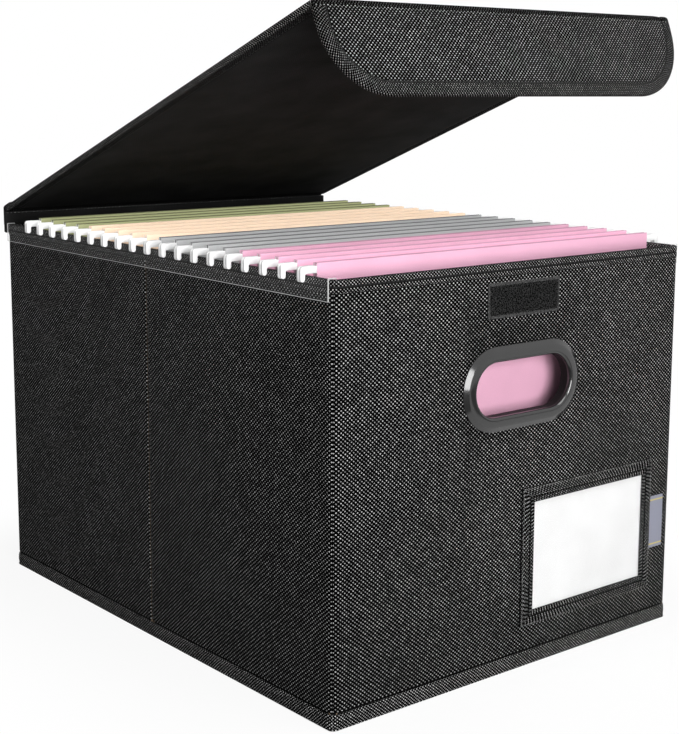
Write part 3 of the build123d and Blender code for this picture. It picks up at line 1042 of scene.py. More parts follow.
# --- The box ---
@dataclass
class BoxBody:
    """The cloth-covered walls with their hem and band, the grips and the rails.

    Wall and cloth are thicknesses. Hem_proud is how far the hem stands out, hem_seam how far its stitches lie
    under the rim, grip_lap how far a grip laps over the cloth, and tucked how far the cloth reaches up under
    the hem.
    """

    finishes: Finishes
    stitcher: Stitcher
    wall: float = 4.2 * MM
    cloth: float = 1.0 * MM
    corner: float = 6.0 * MM
    crease_depth: float = 1.7 * MM
    crease_width: float = 1.5 * MM
    hem_height: float = 8.5 * MM
    hem_proud: float = 0.35 * MM
    hem_seam: float = 4.3 * MM
    groove: float = 0.9 * MM
    grip_lap: float = 4.0 * MM
    tucked: float = 1.0 * MM

    def __post_init__(self) -> None:
        """Read the walls' place from the frame."""
        low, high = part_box("wall_cover")
        self.half = (high.x, high.y)
        self.bottom = low.z
        self.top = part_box("rim_hem")[1].z
        self.face = high.y

    def outline(self, marks: tuple[float, ...] = ()) -> Outline:
        """The walls seen from above."""
        return Outline(*self.half, (self.corner,) * 4, corner_steps=6, step=20 * MM, marks=marks)

    def crease(self, x: float, y: float, z: float) -> float:
        """How far the side walls are pinched in at their fold."""
        if abs(x) < self.half[0] - self.corner:
            return 0.0
        return self.crease_depth * math.exp(-((y / self.crease_width) ** 2))

    def build(self) -> None:
        """Build and dress every piece of the box's body."""
        self.build_walls()
        self.build_hem()
        self.build_band()
        self.build_plain_nodes()
        for side in Side:
            self.build_grip(side)
        for side in (-1, 1):
            self.build_rail(side)

    def build_walls(self) -> None:
        """The outer cloth with its two creases and grip holes."""
        marks = tuple(sign * step * MM for step in (0.0, 0.8, 1.6, 2.6, 4.0, 7.0) for sign in (-1, 1))
        high = self.top - self.hem_height + self.tucked
        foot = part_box("base_binding")[1].z
        profile = [(0.0, self.bottom), *near(0.0, foot, (0, -0.6), (0.8, 0), (0.8, 0.9), (0, 1.5)),
                   (0.0, high), (self.cloth, high), (self.cloth, self.bottom)]
        cloth, shade = range(2)
        paints = [cloth] + [shade] * 3 + [cloth] * 4
        skin = Loft(self.outline(marks), profile, upright, closed=True, relief=self.crease,
                    paints=paints).skin()
        walls = skin.piece("wall_cloth", [self.finishes.cloth, self.finishes.seam], sharp=60.0)
        (_, middle), half = front_view("front_grip_outer")
        width, height = (size - self.grip_lap for size in half)
        hole = Outline(width, height, (height - 0.1 * MM,) * 4, corner_steps=8)
        reach = 2 * self.face
        cutter = Loft(hole, [(0.0, -reach), (0.0, reach)], lambda a, b, h: Vector((a, h, middle + b)),
                      caps=(0, 0)).skin()
        cut(walls, cutter.piece("hole_cutter", [self.finishes.cloth]))
        settle(walls, Body.BOX, "outer_cloth", "wall_cover")
        pale = Stitcher(self.finishes.pale_thread)
        for name, sign in (("left_seam_stitches", -1), ("right_seam_stitches", 1)):
            x = sign * (self.half[0] - self.crease_depth * 0.75)
            path = [Vector((x, 0.0, foot + 3 * MM)), Vector((x, 0.0, high - 2 * MM))]
            pale.row(name, path, Body.BOX, "outer_cloth", closed=False,
                     pitch=3.4 * MM, length=2.2 * MM, thickness=0.7 * MM)

    def build_hem(self) -> None:
        """The cloth turned over the rim, with its row of stitches."""
        out, inside = -self.hem_proud, self.wall + 0.15 * MM
        top, low, seam = self.top, self.top - self.hem_height, self.top - self.hem_seam
        soft, thin = 1.5 * MM, 1.1 * MM
        profile = [*near(out, low, (0.9, 0), (0, 0.7)), *near(out, seam, (0, -0.7)),
                   *near(out + self.groove, seam, (0, -0.1), (0, 0.1)), *near(out, seam, (0, 0.7))]
        profile += [(-x, z) for x, z in arc((-out - soft, top - soft), soft, 0, 90, 5)]
        profile += reversed(arc((inside - soft, top - soft), soft, 0, 90, 5))
        under = top - 1.2 * MM
        profile += [(inside, low), (inside - thin, low), (inside - thin, under), (thin, under), (thin, low)]
        tape, shade, dark = range(3)
        paints = [shade, tape] + [shade] * 3 + [tape] * (len(profile) - 5)
        # painted shade: the rim's crest takes the darker copy of the tape
        paints[9:14] = [dark] * 5  # the crest of the rim
        skin = Loft(self.outline(), profile, upright, closed=True, paints=paints).skin()
        materials = [self.finishes.tape, self.finishes.soft_seam, self.finishes.dark_tape]
        settle(skin.piece("rim_fold", materials, sharp=50.0), Body.BOX, "outer_cloth", "rim_hem")
        path = ring_path(self.outline(), out + self.groove * 0.6, seam, upright)
        self.stitcher.row("rim_stitches", path, Body.BOX, "outer_cloth")

    def build_band(self) -> None:
        """The band sewn round the foot of the walls."""
        low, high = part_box("base_binding")
        thick = high.x - self.half[0]
        proud, sunk = thick * 0.5, 0.6 * MM
        profile = [(sunk, low.z), (-proud * 0.2, low.z), (-proud, low.z + 1.2 * MM),
                   (-thick, low.z + (high.z - low.z) * 0.5), (-proud, high.z - 0.8 * MM),
                   (-proud * 0.4, high.z - 0.2 * MM), (0.0, high.z), (sunk, high.z)]
        skin = Loft(self.outline(), profile, upright, closed=True).skin()
        band = skin.piece("foot_band", [self.finishes.tape], sharp=50.0)
        settle(band, Body.BOX, "binding_cloth", "base_binding")
        path = ring_path(self.outline(), -thick * 0.7, high.z - 2.2 * MM, upright)
        self.stitcher.row("foot_stitches", path, Body.BOX, "binding_cloth", thickness=0.45 * MM)

    def build_plain_nodes(self) -> None:
        """Dress the CAD nodes whose shape is right."""
        look = self.finishes
        dress = {"base_cover": look.flat_cloth, "wall_lining": look.lining, "base_insert": look.lining,
                 "label_window": look.film, "label_card": look.card, "front_grip_inner": look.sleeve,
                 "rear_grip_inner": look.sleeve}
        dress |= {node: look.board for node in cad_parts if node.endswith("_board")}
        for node, material in dress.items():
            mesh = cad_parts[node].data
            mesh.materials.clear()
            mesh.materials.append(material)

    def build_grip(self, side: Side) -> None:
        """The oval grip: a bevelled ring and the sleeve that runs through the wall.

        Args:
            side: the wall that it is in.
        """
        name = f"{side.name.lower()}_grip"
        node = name + "_outer"
        low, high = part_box(node)
        proud = max(abs(low.y), abs(high.y)) - self.face
        reach = self.face - min(abs(low.y), abs(high.y))
        (_, middle), (half_w, half_h) = front_view(node)
        outline = Outline(half_w, half_h, (half_h - 0.05 * MM,) * 4, corner_steps=20)
        lip, bevel, sleeve, tip, edge = 10.0 * MM, 3.5 * MM, 1.8 * MM, 0.18 * MM, 0.5 * MM
        rim = proud - 0.55 * MM
        profile = [(0.0, 0.0), (0.0, edge - tip), (tip, edge + tip)]
        profile += [(tip + (bevel - 2 * tip) * part, edge + tip + (rim - edge - 2 * tip) * part)
                    for part in (0.12, 0.88)]
        profile += [(bevel - tip, rim - tip), (bevel + tip, rim)]
        profile += near(bevel, proud, (1.5, -0.3), (3.2, -0.1))
        profile += near(lip, proud, (-2, 0), (-1.3, -0.02), (-1, -0.12), (-0.2, -1), (0, -1.4), (0, -3.2))
        profile += [(lip, -reach), (lip - sleeve, -reach), (lip - sleeve, 0.0)]
        gloss, matt = range(2)
        paints = [gloss] * 14 + [matt] * 4

        def place(a: float, b: float, out: float) -> Vector:
            return Vector((-side.value * a, side.value * (self.face + out), middle + b))

        skin = Loft(outline, profile, place, closed=True, paints=paints).skin()
        materials = [self.finishes.grip, self.finishes.sleeve]
        settle(skin.piece(name, materials, sharp=30.0), Body.BOX, "black_plastic", node)

    def build_rail(self, side: int) -> None:
        """A clear channel over a side wall: polished faces, and rough, hazy cut edges with a painted glow.

        Args:
            side: -1 for the left wall, 1 for the right one.
        """
        node = "left_rail" if side < 0 else "right_rail"
        low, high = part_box(node)
        outer = max(abs(low.x), abs(high.x)) + 0.15 * MM
        inner = min(abs(low.x), abs(high.x))
        thick, soft, top = 0.8 * MM, 0.7 * MM, high.z
        foot = top - 10.0 * MM
        section = [(outer - thick, low.z), (outer, low.z), (outer, low.z + 0.45 * MM),
                   *arc((outer - soft, top - soft), soft, 0, 90, 4),
                   *arc((inner + soft, top - soft), soft, 90, 180, 4), (inner, foot), (inner + thick, foot),
                   (inner + thick, top - thick), (outer - thick, top - thick)]
        count = len(section)
        # painted glow: these cut edges are rough and hazy, and also give off a faint light
        frosted_glowing = [int(i in (0, 1, count - 4)) for i in range(count)]
        bevel, cut_end = 0.1 * MM, 0.5 * MM
        rings = [(low.y, bevel), (low.y + cut_end, 0.0), (high.y - cut_end, 0.0), (high.y, bevel)]
        skin = Extrusion(section, rings, lambda y, x, z: Vector((side * x, y, z)), frosted_glowing, 1, 1).skin()
        materials = [self.finishes.clear, self.finishes.glowing_clear_edge]
        settle(skin.piece(f"clear_{node}", materials, sharp=30.0), Body.BOX, "clear_plastic", node)


# --- Sewn on the front ---
@dataclass
class LabelPocket:
    """A cloth frame with mitred corners, sewn on at three sides, and the ribbon tag in its seam."""

    finishes: Finishes
    border: float = 11.0 * MM
    seam: float = 4.0 * MM
    stitch_inset: float = 1.3 * MM
    edge_step: float = 1.0 * MM

    def __post_init__(self) -> None:
        """Read the pocket's place from the frame."""
        low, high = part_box("label_pocket")
        self.wall = high.y
        self.proud = high.y - low.y
        self.centre, self.half = front_view("label_pocket")
        self.open_gap = self.proud - 1.0 * MM

    def place(self, a: float, b: float, out: float) -> Vector:
        """A point of the frame, which stands off the wall along its open top.

        Args:
            a: its place across.
            b: its height.
            out: how far out of the wall it is drawn.

        Returns:
            The point.
        """
        across = abs(a - self.centre[0])
        seam_line = self.centre[1] + self.half[1] - self.seam
        under_top = b > seam_line - 0.05 * MM and across < self.half[0] - self.seam
        if under_top:
            out = self.open_gap + max(out, 0.0) * (self.proud - self.open_gap) / self.proud
        return Vector((a, self.wall - out, b))

    def outline(self) -> Outline:
        """The frame's outer edge."""
        return Outline(*self.half, (0.8 * MM,) * 4, self.centre, corner_steps=2, step=self.edge_step)

    def build(self) -> None:
        """Build the frame, its stitches and the tag."""
        full, back, border = self.proud, self.open_gap, self.border
        profile = near(0.0, 0.0, (0.25, 0.02), (0, 0.5))
        profile += [(inset * MM, full * lift) for inset, lift in (
            (0.15, 0.6), (0.7, 0.78), (1.3, 0.74), (1.9, 0.84), (3, 0.97), (5.6, 1), (6.2, 0.95),
            (6.6, 0.6), (7, 0.6), (7.5, 0.95))]
        profile += [(border - 1.0 * MM, full), (border - 0.3 * MM, full * 0.94), (border, full * 0.8)]
        profile += [*near(border, back, (-0.1, 0.05), (-0.6, 0)), (self.seam, back), (self.seam, 0.02 * MM)]
        cloth, shade = range(2)
        paints = [shade] * 2 + [cloth] * 6 + [shade] * 3 + [cloth] * (len(profile) - 11)
        skin = Loft(self.outline(), profile, self.place, closed=True, mirrored=SAME_WAY, paints=paints).skin()
        frame = skin.piece("pocket_frame", [self.finishes.trim, self.finishes.seam], sharp=45.0)
        settle(frame, Body.BOX, "binding_cloth", "label_pocket")
        path = ring_path(self.outline(), self.stitch_inset, full * 0.78, self.place)
        stitcher = Stitcher(self.finishes.pale_thread)
        stitcher.row("pocket_stitches", path, Body.BOX, "binding_cloth",
                     pitch=2.6 * MM, length=1.5 * MM, thickness=0.6 * MM)
        self.build_tag()

    def build_tag(self) -> None:
        """The ribbon, folded in two, with its ends in the pocket's seam."""
        low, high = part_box("side_tag")
        thin, fold = 0.36 * MM, 0.3 * MM
        right = high.x - fold - thin / 2
        under = thin / 2 + 0.05 * MM
        over = under + 2 * fold
        path = [*near(low.x, under, (0, 0), (4, 0)), *near(right, under, (-3, 0.02))]
        path += arc((right, under + fold), fold, -90, 90, 6)
        path += [*near(right, over, (-3, 0)), *near(low.x, over, (4, 0), (0, 0))]
        rings = soft_ends(low.z, high.z, 0.08 * MM, 6)
        skin = Extrusion(thicken(path, thin), rings,
                         lambda z, x, out: Vector((x, self.wall - out, z))).skin()
        tag = skin.piece("ribbon_tag", [self.finishes.ribbon], sharp=35.0)
        settle(tag, Body.BOX, "tag_cloth", "side_tag")


class Pile(Enum):
    """The closure's two halves: the record's slot, and a loop's or hook's radius and sweep in degrees."""

    LOOPS = ("loop_tape", 0.42 * MM, 215)
    HOOKS = ("hook_tape", 0.3 * MM, 250)


@dataclass
class ClosureTape:
    """A strip of closure tape: a woven base with plain edges, and nylon loops or hooks on it.

    Centre and half are its middle and half its sizes. Plain_edge and side_edge are what the pile leaves free,
    base is the tape's thickness, and density the loops or hooks per square metre.
    """

    finishes: Finishes
    stitcher: Stitcher
    node: str
    pile: Pile
    body: str
    place: Place
    centre: Mark
    half: Mark
    plain_edge: float = 2.0 * MM
    side_edge: float = 0.9 * MM
    base: float = 0.5 * MM
    density: float = 2.3e6

    def kit(self) -> NodeKit:
        """The tree that stands the loops or hooks on a surface.

        Returns:
            The finished tree.
        """
        made = NodeKit("pile_" + self.pile.name.lower(), Density="Float", Radius="Float", Thread="Float",
                       Seed="Int", Material="Material")
        given = made.given
        points = made.node("GeometryNodeDistributePointsOnFaces", {
            "Mesh": given["Geometry"], "Density": given["Density"], "Seed": given["Seed"]})
        bow = made.node("GeometryNodeCurveArc", {
            "Resolution": 7, "Radius": given["Radius"], "Start Angle": math.radians(-20),
            "Sweep Angle": math.radians(self.pile.value[2])})
        ring = made.node("GeometryNodeCurvePrimitiveCircle", {"Resolution": 3, "Radius": given["Thread"]})
        wire = made.node("GeometryNodeCurveToMesh", {
            "Curve": bow.outputs[0], "Profile Curve": ring.outputs[0], "Fill Caps": True})
        stood = made.node("GeometryNodeTransform", {
            "Geometry": wire.outputs[0], "Rotation": (math.radians(90), 0.0, 0.0)})
        turn = made.chance(0.0, math.tau, given["Seed"])
        lean = made.chance(-0.5, 0.5, 7)
        spin = made.node("ShaderNodeCombineXYZ", {"X": lean, "Z": turn})
        local = made.node("FunctionNodeEulerToRotation", {0: spin.outputs[0]})
        both = made.node("FunctionNodeRotateRotation", {0: points.outputs["Rotation"], 1: local.outputs[0]},
                         rotation_space="LOCAL")
        made.end(points.outputs["Points"], stood, both, made.chance(0.65, 1.25, 11))
        return made

    def build(self, seed: int) -> None:
        """Build the strip.

        Args:
            seed: for the scatter of its pile.
        """
        soft = 0.12 * MM
        name, radius, _ = self.pile.value
        outline = Outline(*self.half, (1.0 * MM,) * 4, self.centre, corner_steps=4, step=4 * MM)
        profile = [(0.0, 0.0), (0.0, self.base - soft), (soft, self.base)]
        profile += [(self.plain_edge * inset, self.base * lift)
                    for inset, lift in ((0.55, 1), (0.7, 0.8), (1, 1))]
        skin = Loft(outline, profile, self.place, caps=(0, 1)).skin()
        materials = [self.finishes.selvedge, self.finishes.pile]
        settle(skin.piece(name, materials, sharp=40.0), self.body, name, self.node)
        reach = (self.half[0] - self.side_edge, self.half[1] - self.plain_edge)
        field_mesh = bpy.data.meshes.new(name + "_field")
        spots = [self.place(self.centre[0] + a * reach[0], self.centre[1] + b * reach[1], self.base)
                 for a, b in CORNERS]
        outward = self.place(*self.centre, 1.0) - self.place(*self.centre, 0.0)
        normal = (spots[1] - spots[0]).cross(spots[3] - spots[0])
        order = (0, 1, 2, 3) if normal.dot(outward) > 0 else (3, 2, 1, 0)
        field_mesh.from_pydata([tuple(p) for p in spots], [], [order])
        nap = self.kit().grow(name + "_pile", field_mesh, {
            "Density": self.density, "Radius": radius, "Thread": 0.07 * MM, "Seed": seed,
            "Material": self.finishes.pile})
        settle(nap, self.body, name)
        path = ring_path(outline, self.plain_edge * 0.65, self.base, self.place)
        self.stitcher.row(name + "_stitches", path, self.body, name,
                          pitch=2.6 * MM, length=2.0 * MM, thickness=0.35 * MM)


# --- Lid and flap ---
@dataclass
class LidAssembly:
    """The padded lid, the flap that folds down from its front edge, and the cloth hinges of both.

    Sizes are those of the closed lid. Seams are the stitches' insets, outside and inside, seam_depth how deep
    they lie, fold_share how high the fold's cloth lies on the padding, and cut_back how far the panels stop
    short of the fold.
    """

    finishes: Finishes
    stitcher: Stitcher
    rest_turn: float = math.radians(20.35)
    half_width: float = 157.0 * MM
    rear: float = 209.0 * MM
    front: float = 212.7 * MM
    under: float = 283.85 * MM
    top: float = 288.05 * MM
    inside: float = 208.5 * MM
    flap_top: float = 283.65 * MM
    flap_foot: float = 230.05 * MM
    flap_radius: float = 46.0 * MM
    corner: float = 4.0 * MM
    spare: float = 12.0 * MM
    cut_back: float = 4.3 * MM
    crown: float = 0.5 * MM
    fold_share: float = 0.84
    seams: Mark = (8.5 * MM, 8.9 * MM)
    seam_depth: float = 0.42 * MM

    def opened(self, point: Vector) -> Vector:
        """A point of the closed lid, turned to where the lid stands open."""
        y, z = point.y - self.rear, point.z - self.top
        c, s = math.cos(self.rest_turn), math.sin(self.rest_turn)
        return Vector((point.x, self.rear + y * c + z * s, self.top - y * s + z * c))

    def edge_spot(self, y: float, z: float) -> Vector:
        """A point of the closed lid's middle section, where the lid stands open."""
        return self.opened(Vector((0, y, z)))

    def on_lid(self, a: float, b: float, lift: float) -> Vector:
        """A place on the lid, lift being measured from its lining."""
        return self.opened(Vector((a, b, self.under + lift)))

    def on_flap(self, a: float, b: float, lift: float) -> Vector:
        """A place on the flap, lift being measured from its lining."""
        return self.opened(Vector((a, -self.inside - lift, b)))

    @property
    def thick(self) -> float:
        """The panels' thickness."""
        return self.top - self.under

    def upper_profile(self) -> list[Mark]:
        """The outer face from its bound edge inwards, as inset and lift."""
        edge = near(0.0, self.thick, (3.4, 0.25), (6.2, 0.25), (8, 0), (8.5, -0.5), (9, -0.05))
        return edge + [(inset * MM, self.thick + self.crown * share)
                       for inset, share in ((11, 0.45), (15, 0.8), (21, 1))]

    def panel(self, outline: Outline, place: Place) -> Skin:
        """A padded panel with bound edges.

        Args:
            outline: its outline, which runs past the fold.
            place: where its points go.

        Returns:
            Its skin: cloth, bound edge and lining.
        """
        thick = self.thick
        soft = 1.5 * MM
        lower = near(0.0, 0.0, (22, 0.15), (12, 0.1), (9.6, 0.12), (8.9, 0.5), (8.2, 0.1), (7.2, 0),
                     (3.4, 0))
        rim = [(soft - x, soft + z) for x, z in arc((0, 0), soft, -90, 0, 4)]
        rim += [(soft - x, thick - soft + z) for x, z in arc((0, 0), soft, 0, 90, 4)]
        profile = [*lower, *rim, *self.upper_profile()]
        edge = len(lower) + len(rim)
        cloth, lining, tape, shade, dark = range(5)
        # painted shade: the underside of the bound edge takes the darker copy of the tape, and the grooves
        # the seam shadow
        paints = [lining] * 2 + [shade] * 2 + [dark] * 3 + [tape] * (len(rim) + 2)
        paints += [shade] * 2 + [cloth] * 5
        plain = frozenset(range(edge + 4, len(profile)))
        return Loft(outline, profile, place, mirrored=SAME_WAY, paints=paints, caps=(lining, cloth),
                    plain=plain).skin()

    @staticmethod
    def trim(piece: Object, point: Vector, away: Vector) -> None:
        """Cut a piece straight and close the cut.

        Args:
            piece: the piece.
            point: a point of the cut.
            away: towards the part that goes.
        """
        work = bmesh.new()
        work.from_mesh(piece.data)
        parts = [*work.verts, *work.edges, *work.faces]
        done = bmesh.ops.bisect_plane(work, geom=parts, plane_co=point, plane_no=away, clear_outer=True,
                                      dist=WELD)
        edges = [part for part in done["geom_cut"] if isinstance(part, bmesh.types.BMEdge)]
        bmesh.ops.holes_fill(work, edges=edges)
        work.to_mesh(piece.data)
        work.free()

    def build(self) -> None:
        """Build the lid, the flap and their hinges."""
        look = self.finishes
        outline = Outline(self.half_width, (self.front + self.rear + self.spare) / 2, (self.corner,) * 4,
                          (0.0, (self.rear - self.front - self.spare) / 2), corner_steps=6, step=20 * MM)
        materials = [look.cloth, look.lining, look.lid_tape, look.soft_seam, look.dark_tape]
        lid = self.panel(outline, self.on_lid).piece("lid_panel", materials, sharp=50.0)
        self.trim(lid, self.edge_spot(-self.front + self.cut_back, self.top),
                  self.edge_spot(-1, self.top) - self.edge_spot(0, self.top))
        settle(lid, Body.LID, "outer_cloth", "lid_cover", "lid_binding", "lid_lining")
        high = self.flap_top + self.spare + self.cut_back
        flap_outline = Outline(self.half_width, (high - self.flap_foot) / 2,
                               (self.flap_radius, self.flap_radius, self.corner, self.corner),
                               (0.0, (high + self.flap_foot) / 2), corner_steps=18, step=15 * MM)
        materials = [look.flap_cloth, look.lining, look.edge_tape, look.soft_seam, look.dark_tape]
        flap = self.panel(flap_outline, self.on_flap).piece("flap_panel", materials, sharp=50.0)
        self.trim(flap, self.edge_spot(0, self.flap_top), self.edge_spot(0, 1) - self.edge_spot(0, 0))
        settle(flap, Body.FLAP, "outer_cloth", "flap_cover", "flap_binding", "flap_lining")
        self.build_front_fold()
        self.build_rear_fold()
        self.build_stitches(outline, flap_outline)

    @staticmethod
    def hinge(made: Object, bodies: tuple[str, str], ends: tuple[Vector, Vector], width: float,
              length: float) -> None:
        """Bake a strip of cloth's place into its mesh and log the two bodies that it lies between.

        Args:
            made: the strip.
            bodies: the bodies before and after the bend, which the log names.
            ends: where the bend starts and ends, which is not used.
            width: of the cloth laid flat, which is not used.
            length: of the cloth laid flat, which is not used.
        """
        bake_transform(made)
        LOG.info("%s bends between %s and %s (%d faces)", made.name, *bodies, len(made.data.polygons))

    def edge_drop(self, x: float) -> float:
        """How far the lid's outer face lies under the fold's cloth near its bound edge.

        Args:
            x: the place across the lid.

        Returns:
            The drop, 0 away from the edge.
        """
        inset = self.half_width - abs(x)
        level = self.thick + self.crown * self.fold_share
        rim = near(0.0, self.thick, (0.4, -0.6), (1.5, 0))
        steps = [(0.0, self.thick / 2), *rim, *self.upper_profile()]
        for (i0, h0), (i1, h1) in zip(steps, steps[1:]):
            if inset <= i1:
                return max(0.0, level - (h0 + (h1 - h0) * (inset - i0) / (i1 - i0)))
        return 0.0

    def build_front_fold(self) -> None:
        """Cloth round the lid's front edge, outside and inside."""
        level = self.crown * self.fold_share
        out, top = self.front + level, self.top + level
        radius, tuck = 2.8 * MM, 1.2 * MM
        start_y, end_z = -self.front + self.cut_back, self.flap_top
        path = [(start_y + tuck, top - 0.2 * MM), (start_y, top), (start_y - 0.7 * MM, top)]
        path += arc((-out + radius, top - radius), radius, 90, 180, 8)
        path += [(-out, end_z + 0.7 * MM), (-out, end_z), (-out + 0.2 * MM, end_z - tuck)]
        ends = (self.edge_spot(start_y, self.top), self.edge_spot(-self.front, end_z))
        # painted shade: the steps round the fold's rounded crest take the darker copy of the tape
        self.bent_cloth("front_fold", path, 1.0 * MM, self.half_width, self.finishes.flap_cloth, ends,
                        self.edge_drop, range(3, 12))
        inside, under = -self.inside + 0.12 * MM, self.under - 0.12 * MM
        path = near(inside, under, (-0.3, -7.4), (0, -7), (0, -1.2), (0.3, -0.3), (1.2, 0), (7, 0),
                    (7.4, 0.3))
        self.bent_cloth("fold_lining", path, 0.5 * MM, self.half_width - 2 * MM, self.finishes.lining, ends)

    def bent_cloth(self, name: str, path: Sequence[Mark], thickness: float, reach: float,
                   material: Material, ends: tuple[Vector, Vector],
                   drop: Callable[[float], float] = lambda x: 0.0, crest: Sequence[int] = ()) -> None:
        """A strip of cloth whose outer face follows a path, and which bends between the lid and the flap.

        Args:
            name: the strip's name.
            path: its outer face in Y and Z, of the closed lid, with the cloth on the path's left.
            thickness: of the cloth.
            reach: how far it goes to each side.
            material: its finish.
            ends: where the bend starts and ends.
            drop: how far the face lies under the path at a place across.
            crest: the steps of the path that take the darker copy of the tape, as painted shade.
        """
        last = len(path) - 1
        spans = [(path[max(0, i - 1)], path[min(last, i + 1)]) for i in range(last + 1)]
        normals = [Vector((-(z1 - z0), y1 - y0)).normalized() for (y0, z0), (y1, z1) in spans]
        outer = [(float(i), 0.0) for i in range(last + 1)]
        section = outer + [(i, thickness) for i, _ in reversed(outer)]
        paints = [int(number in crest) for number in range(len(section))]

        def spot(x: float, number: float, depth: float) -> Vector:
            (y, z), way = path[round(number)], normals[round(number)]
            sink = depth + drop(x)
            return self.opened(Vector((x, y + way.x * sink, z + way.y * sink)))

        skirt = (0.0, 0.4, 0.9, 1.5, 3.4, 6.2, 7.6, 8.5, 9.4, 11.0, 15.0)
        stops = {side * (reach - inset * MM) for inset in skirt for side in (-1, 1)}
        stops |= {(reach - skirt[-1] * MM) * i / 12 for i in range(-12, 13)}
        skin = Extrusion(section, [(stop, 0.0) for stop in sorted(stops)], spot, paints).skin()
        lengths = run_lengths(path)
        skin.sheet = [[(u, lengths[min(last, round(v))] if v <= last else 0.0) for u, v in face]
                      for face in skin.sheet]
        made = skin.piece(name, [material, self.finishes.dark_tape], sharp=60.0)
        self.hinge(made, (Body.LID.value, Body.FLAP.value), ends, 2 * reach, lengths[-1])

    def build_rear_fold(self) -> None:
        """The sewn strip behind the rear wall and the cloth that bends up from it onto the lid."""
        low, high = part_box("hinge_strip")
        soft = 0.9 * MM
        section = [(low.y, low.z + soft), *arc((low.y + soft, low.z + soft), soft, 180, 270, 3),
                   *arc((high.y - soft, low.z + soft), soft, 270, 360, 3), (high.y, high.z - 0.3 * MM),
                   (high.y - 0.3 * MM, high.z), (low.y + 0.3 * MM, high.z), (low.y, high.z - 0.3 * MM)]
        rings = soft_ends(low.x, high.x, 0.8 * MM, 24)
        outside, inside = range(2)
        paints = [outside] * (len(section) - 1) + [inside]
        strip = Extrusion(section, rings, upright, paints, inside, inside).skin()
        materials = [self.finishes.cloth, self.finishes.lining]
        settle(strip.piece("hinge_band", materials, sharp=50.0), Body.BOX, "outer_cloth", "hinge_strip")
        turn, rear, top = self.rest_turn, self.rear, self.top
        along = (-math.cos(turn), math.sin(turn))
        path = [*near(rear, low.z, (0.3, 6)), *near(rear, high.z, (0.35, -3), (0.35, 0)),
                *near(rear, top, (0.3, -1.5), (0.05, -0.3), (-0.5, 0.35))]
        path += [(rear + d * along[0] + 0.15 * MM, top + d * along[1] + 0.3 * MM)
                 for d in (2 * MM, 4 * MM, 7 * MM, 11 * MM)]
        reach = self.half_width - 0.4 * MM
        paints = [outside] * len(path) + [inside] * len(path)
        rings = soft_ends(-reach, reach, 0.3 * MM, 30)
        cloth = Extrusion(thicken(path, 0.7 * MM), rings, upright, paints, inside).skin()
        bend = 4 * MM
        ends = (Vector((0, rear, high.z)), Vector((0, rear + bend * along[0], top + bend * along[1])))
        made = cloth.piece("rear_fold", materials, sharp=60.0)
        self.hinge(made, (Body.BOX.value, Body.LID.value), ends, 2 * reach, run_lengths(path)[-1])

    def build_stitches(self, lid: Outline, flap: Outline) -> None:
        """Rows of stitches along the bound edges, outside and inside.

        Args:
            lid: the lid's outline.
            flap: the flap's outline.
        """
        for names, outline, place, body in (
                (("lid_top_stitches", "lid_under_stitches"), lid, self.on_lid, Body.LID),
                (("flap_stitches", "flap_inner_stitches"), flap, self.on_flap, Body.FLAP)):
            for name, inset, lift in zip(names, self.seams, (self.thick - self.seam_depth, self.seam_depth)):
                loop = self.opened_loop(outline.ring(inset), body is Body.LID)
                path = [place(a, b, lift) for a, b in loop]
                self.stitcher.row(name, path, body, "outer_cloth", closed=False)

    def opened_loop(self, ring: Sequence[Mark], on_lid: bool) -> list[Mark]:
        """The part of a ring that lies on a panel.

        Args:
            ring: the points of the ring.
            on_lid: whether the panel is the lid and not the flap.

        Returns:
            An open path that starts and ends at the fold.
        """
        limit = -self.front + 5 * MM if on_lid else self.flap_top - 1 * MM

        def inside(point: Mark) -> bool:
            return point[1] > limit if on_lid else point[1] < limit

        count = len(ring)
        first = next(i for i in range(count) if inside(ring[i]) and not inside(ring[i - 1]))
        path = []
        for i in range(count):
            point = ring[(first + i) % count]
            if not inside(point):
                break
            path.append(point)
        start, stop = (path[0][0], limit), (path[-1][0], limit)
        return [start, *path, stop]


# --- Folders ---
class PaperColour(Enum):
    """The folders' colours: the record's slot, the paper, and how dark the painted shade on its crests and
    inside is.
    """

    PINK = ("pink_paper", (0.88, 0.48, 0.64), 0.72)
    GREY = ("grey_paper", (0.56, 0.565, 0.57), 0.42)
    PEACH = ("peach_paper", (0.95, 0.74, 0.56), 0.97)
    OLIVE = ("olive_paper", (0.4, 0.42, 0.22), 0.35)


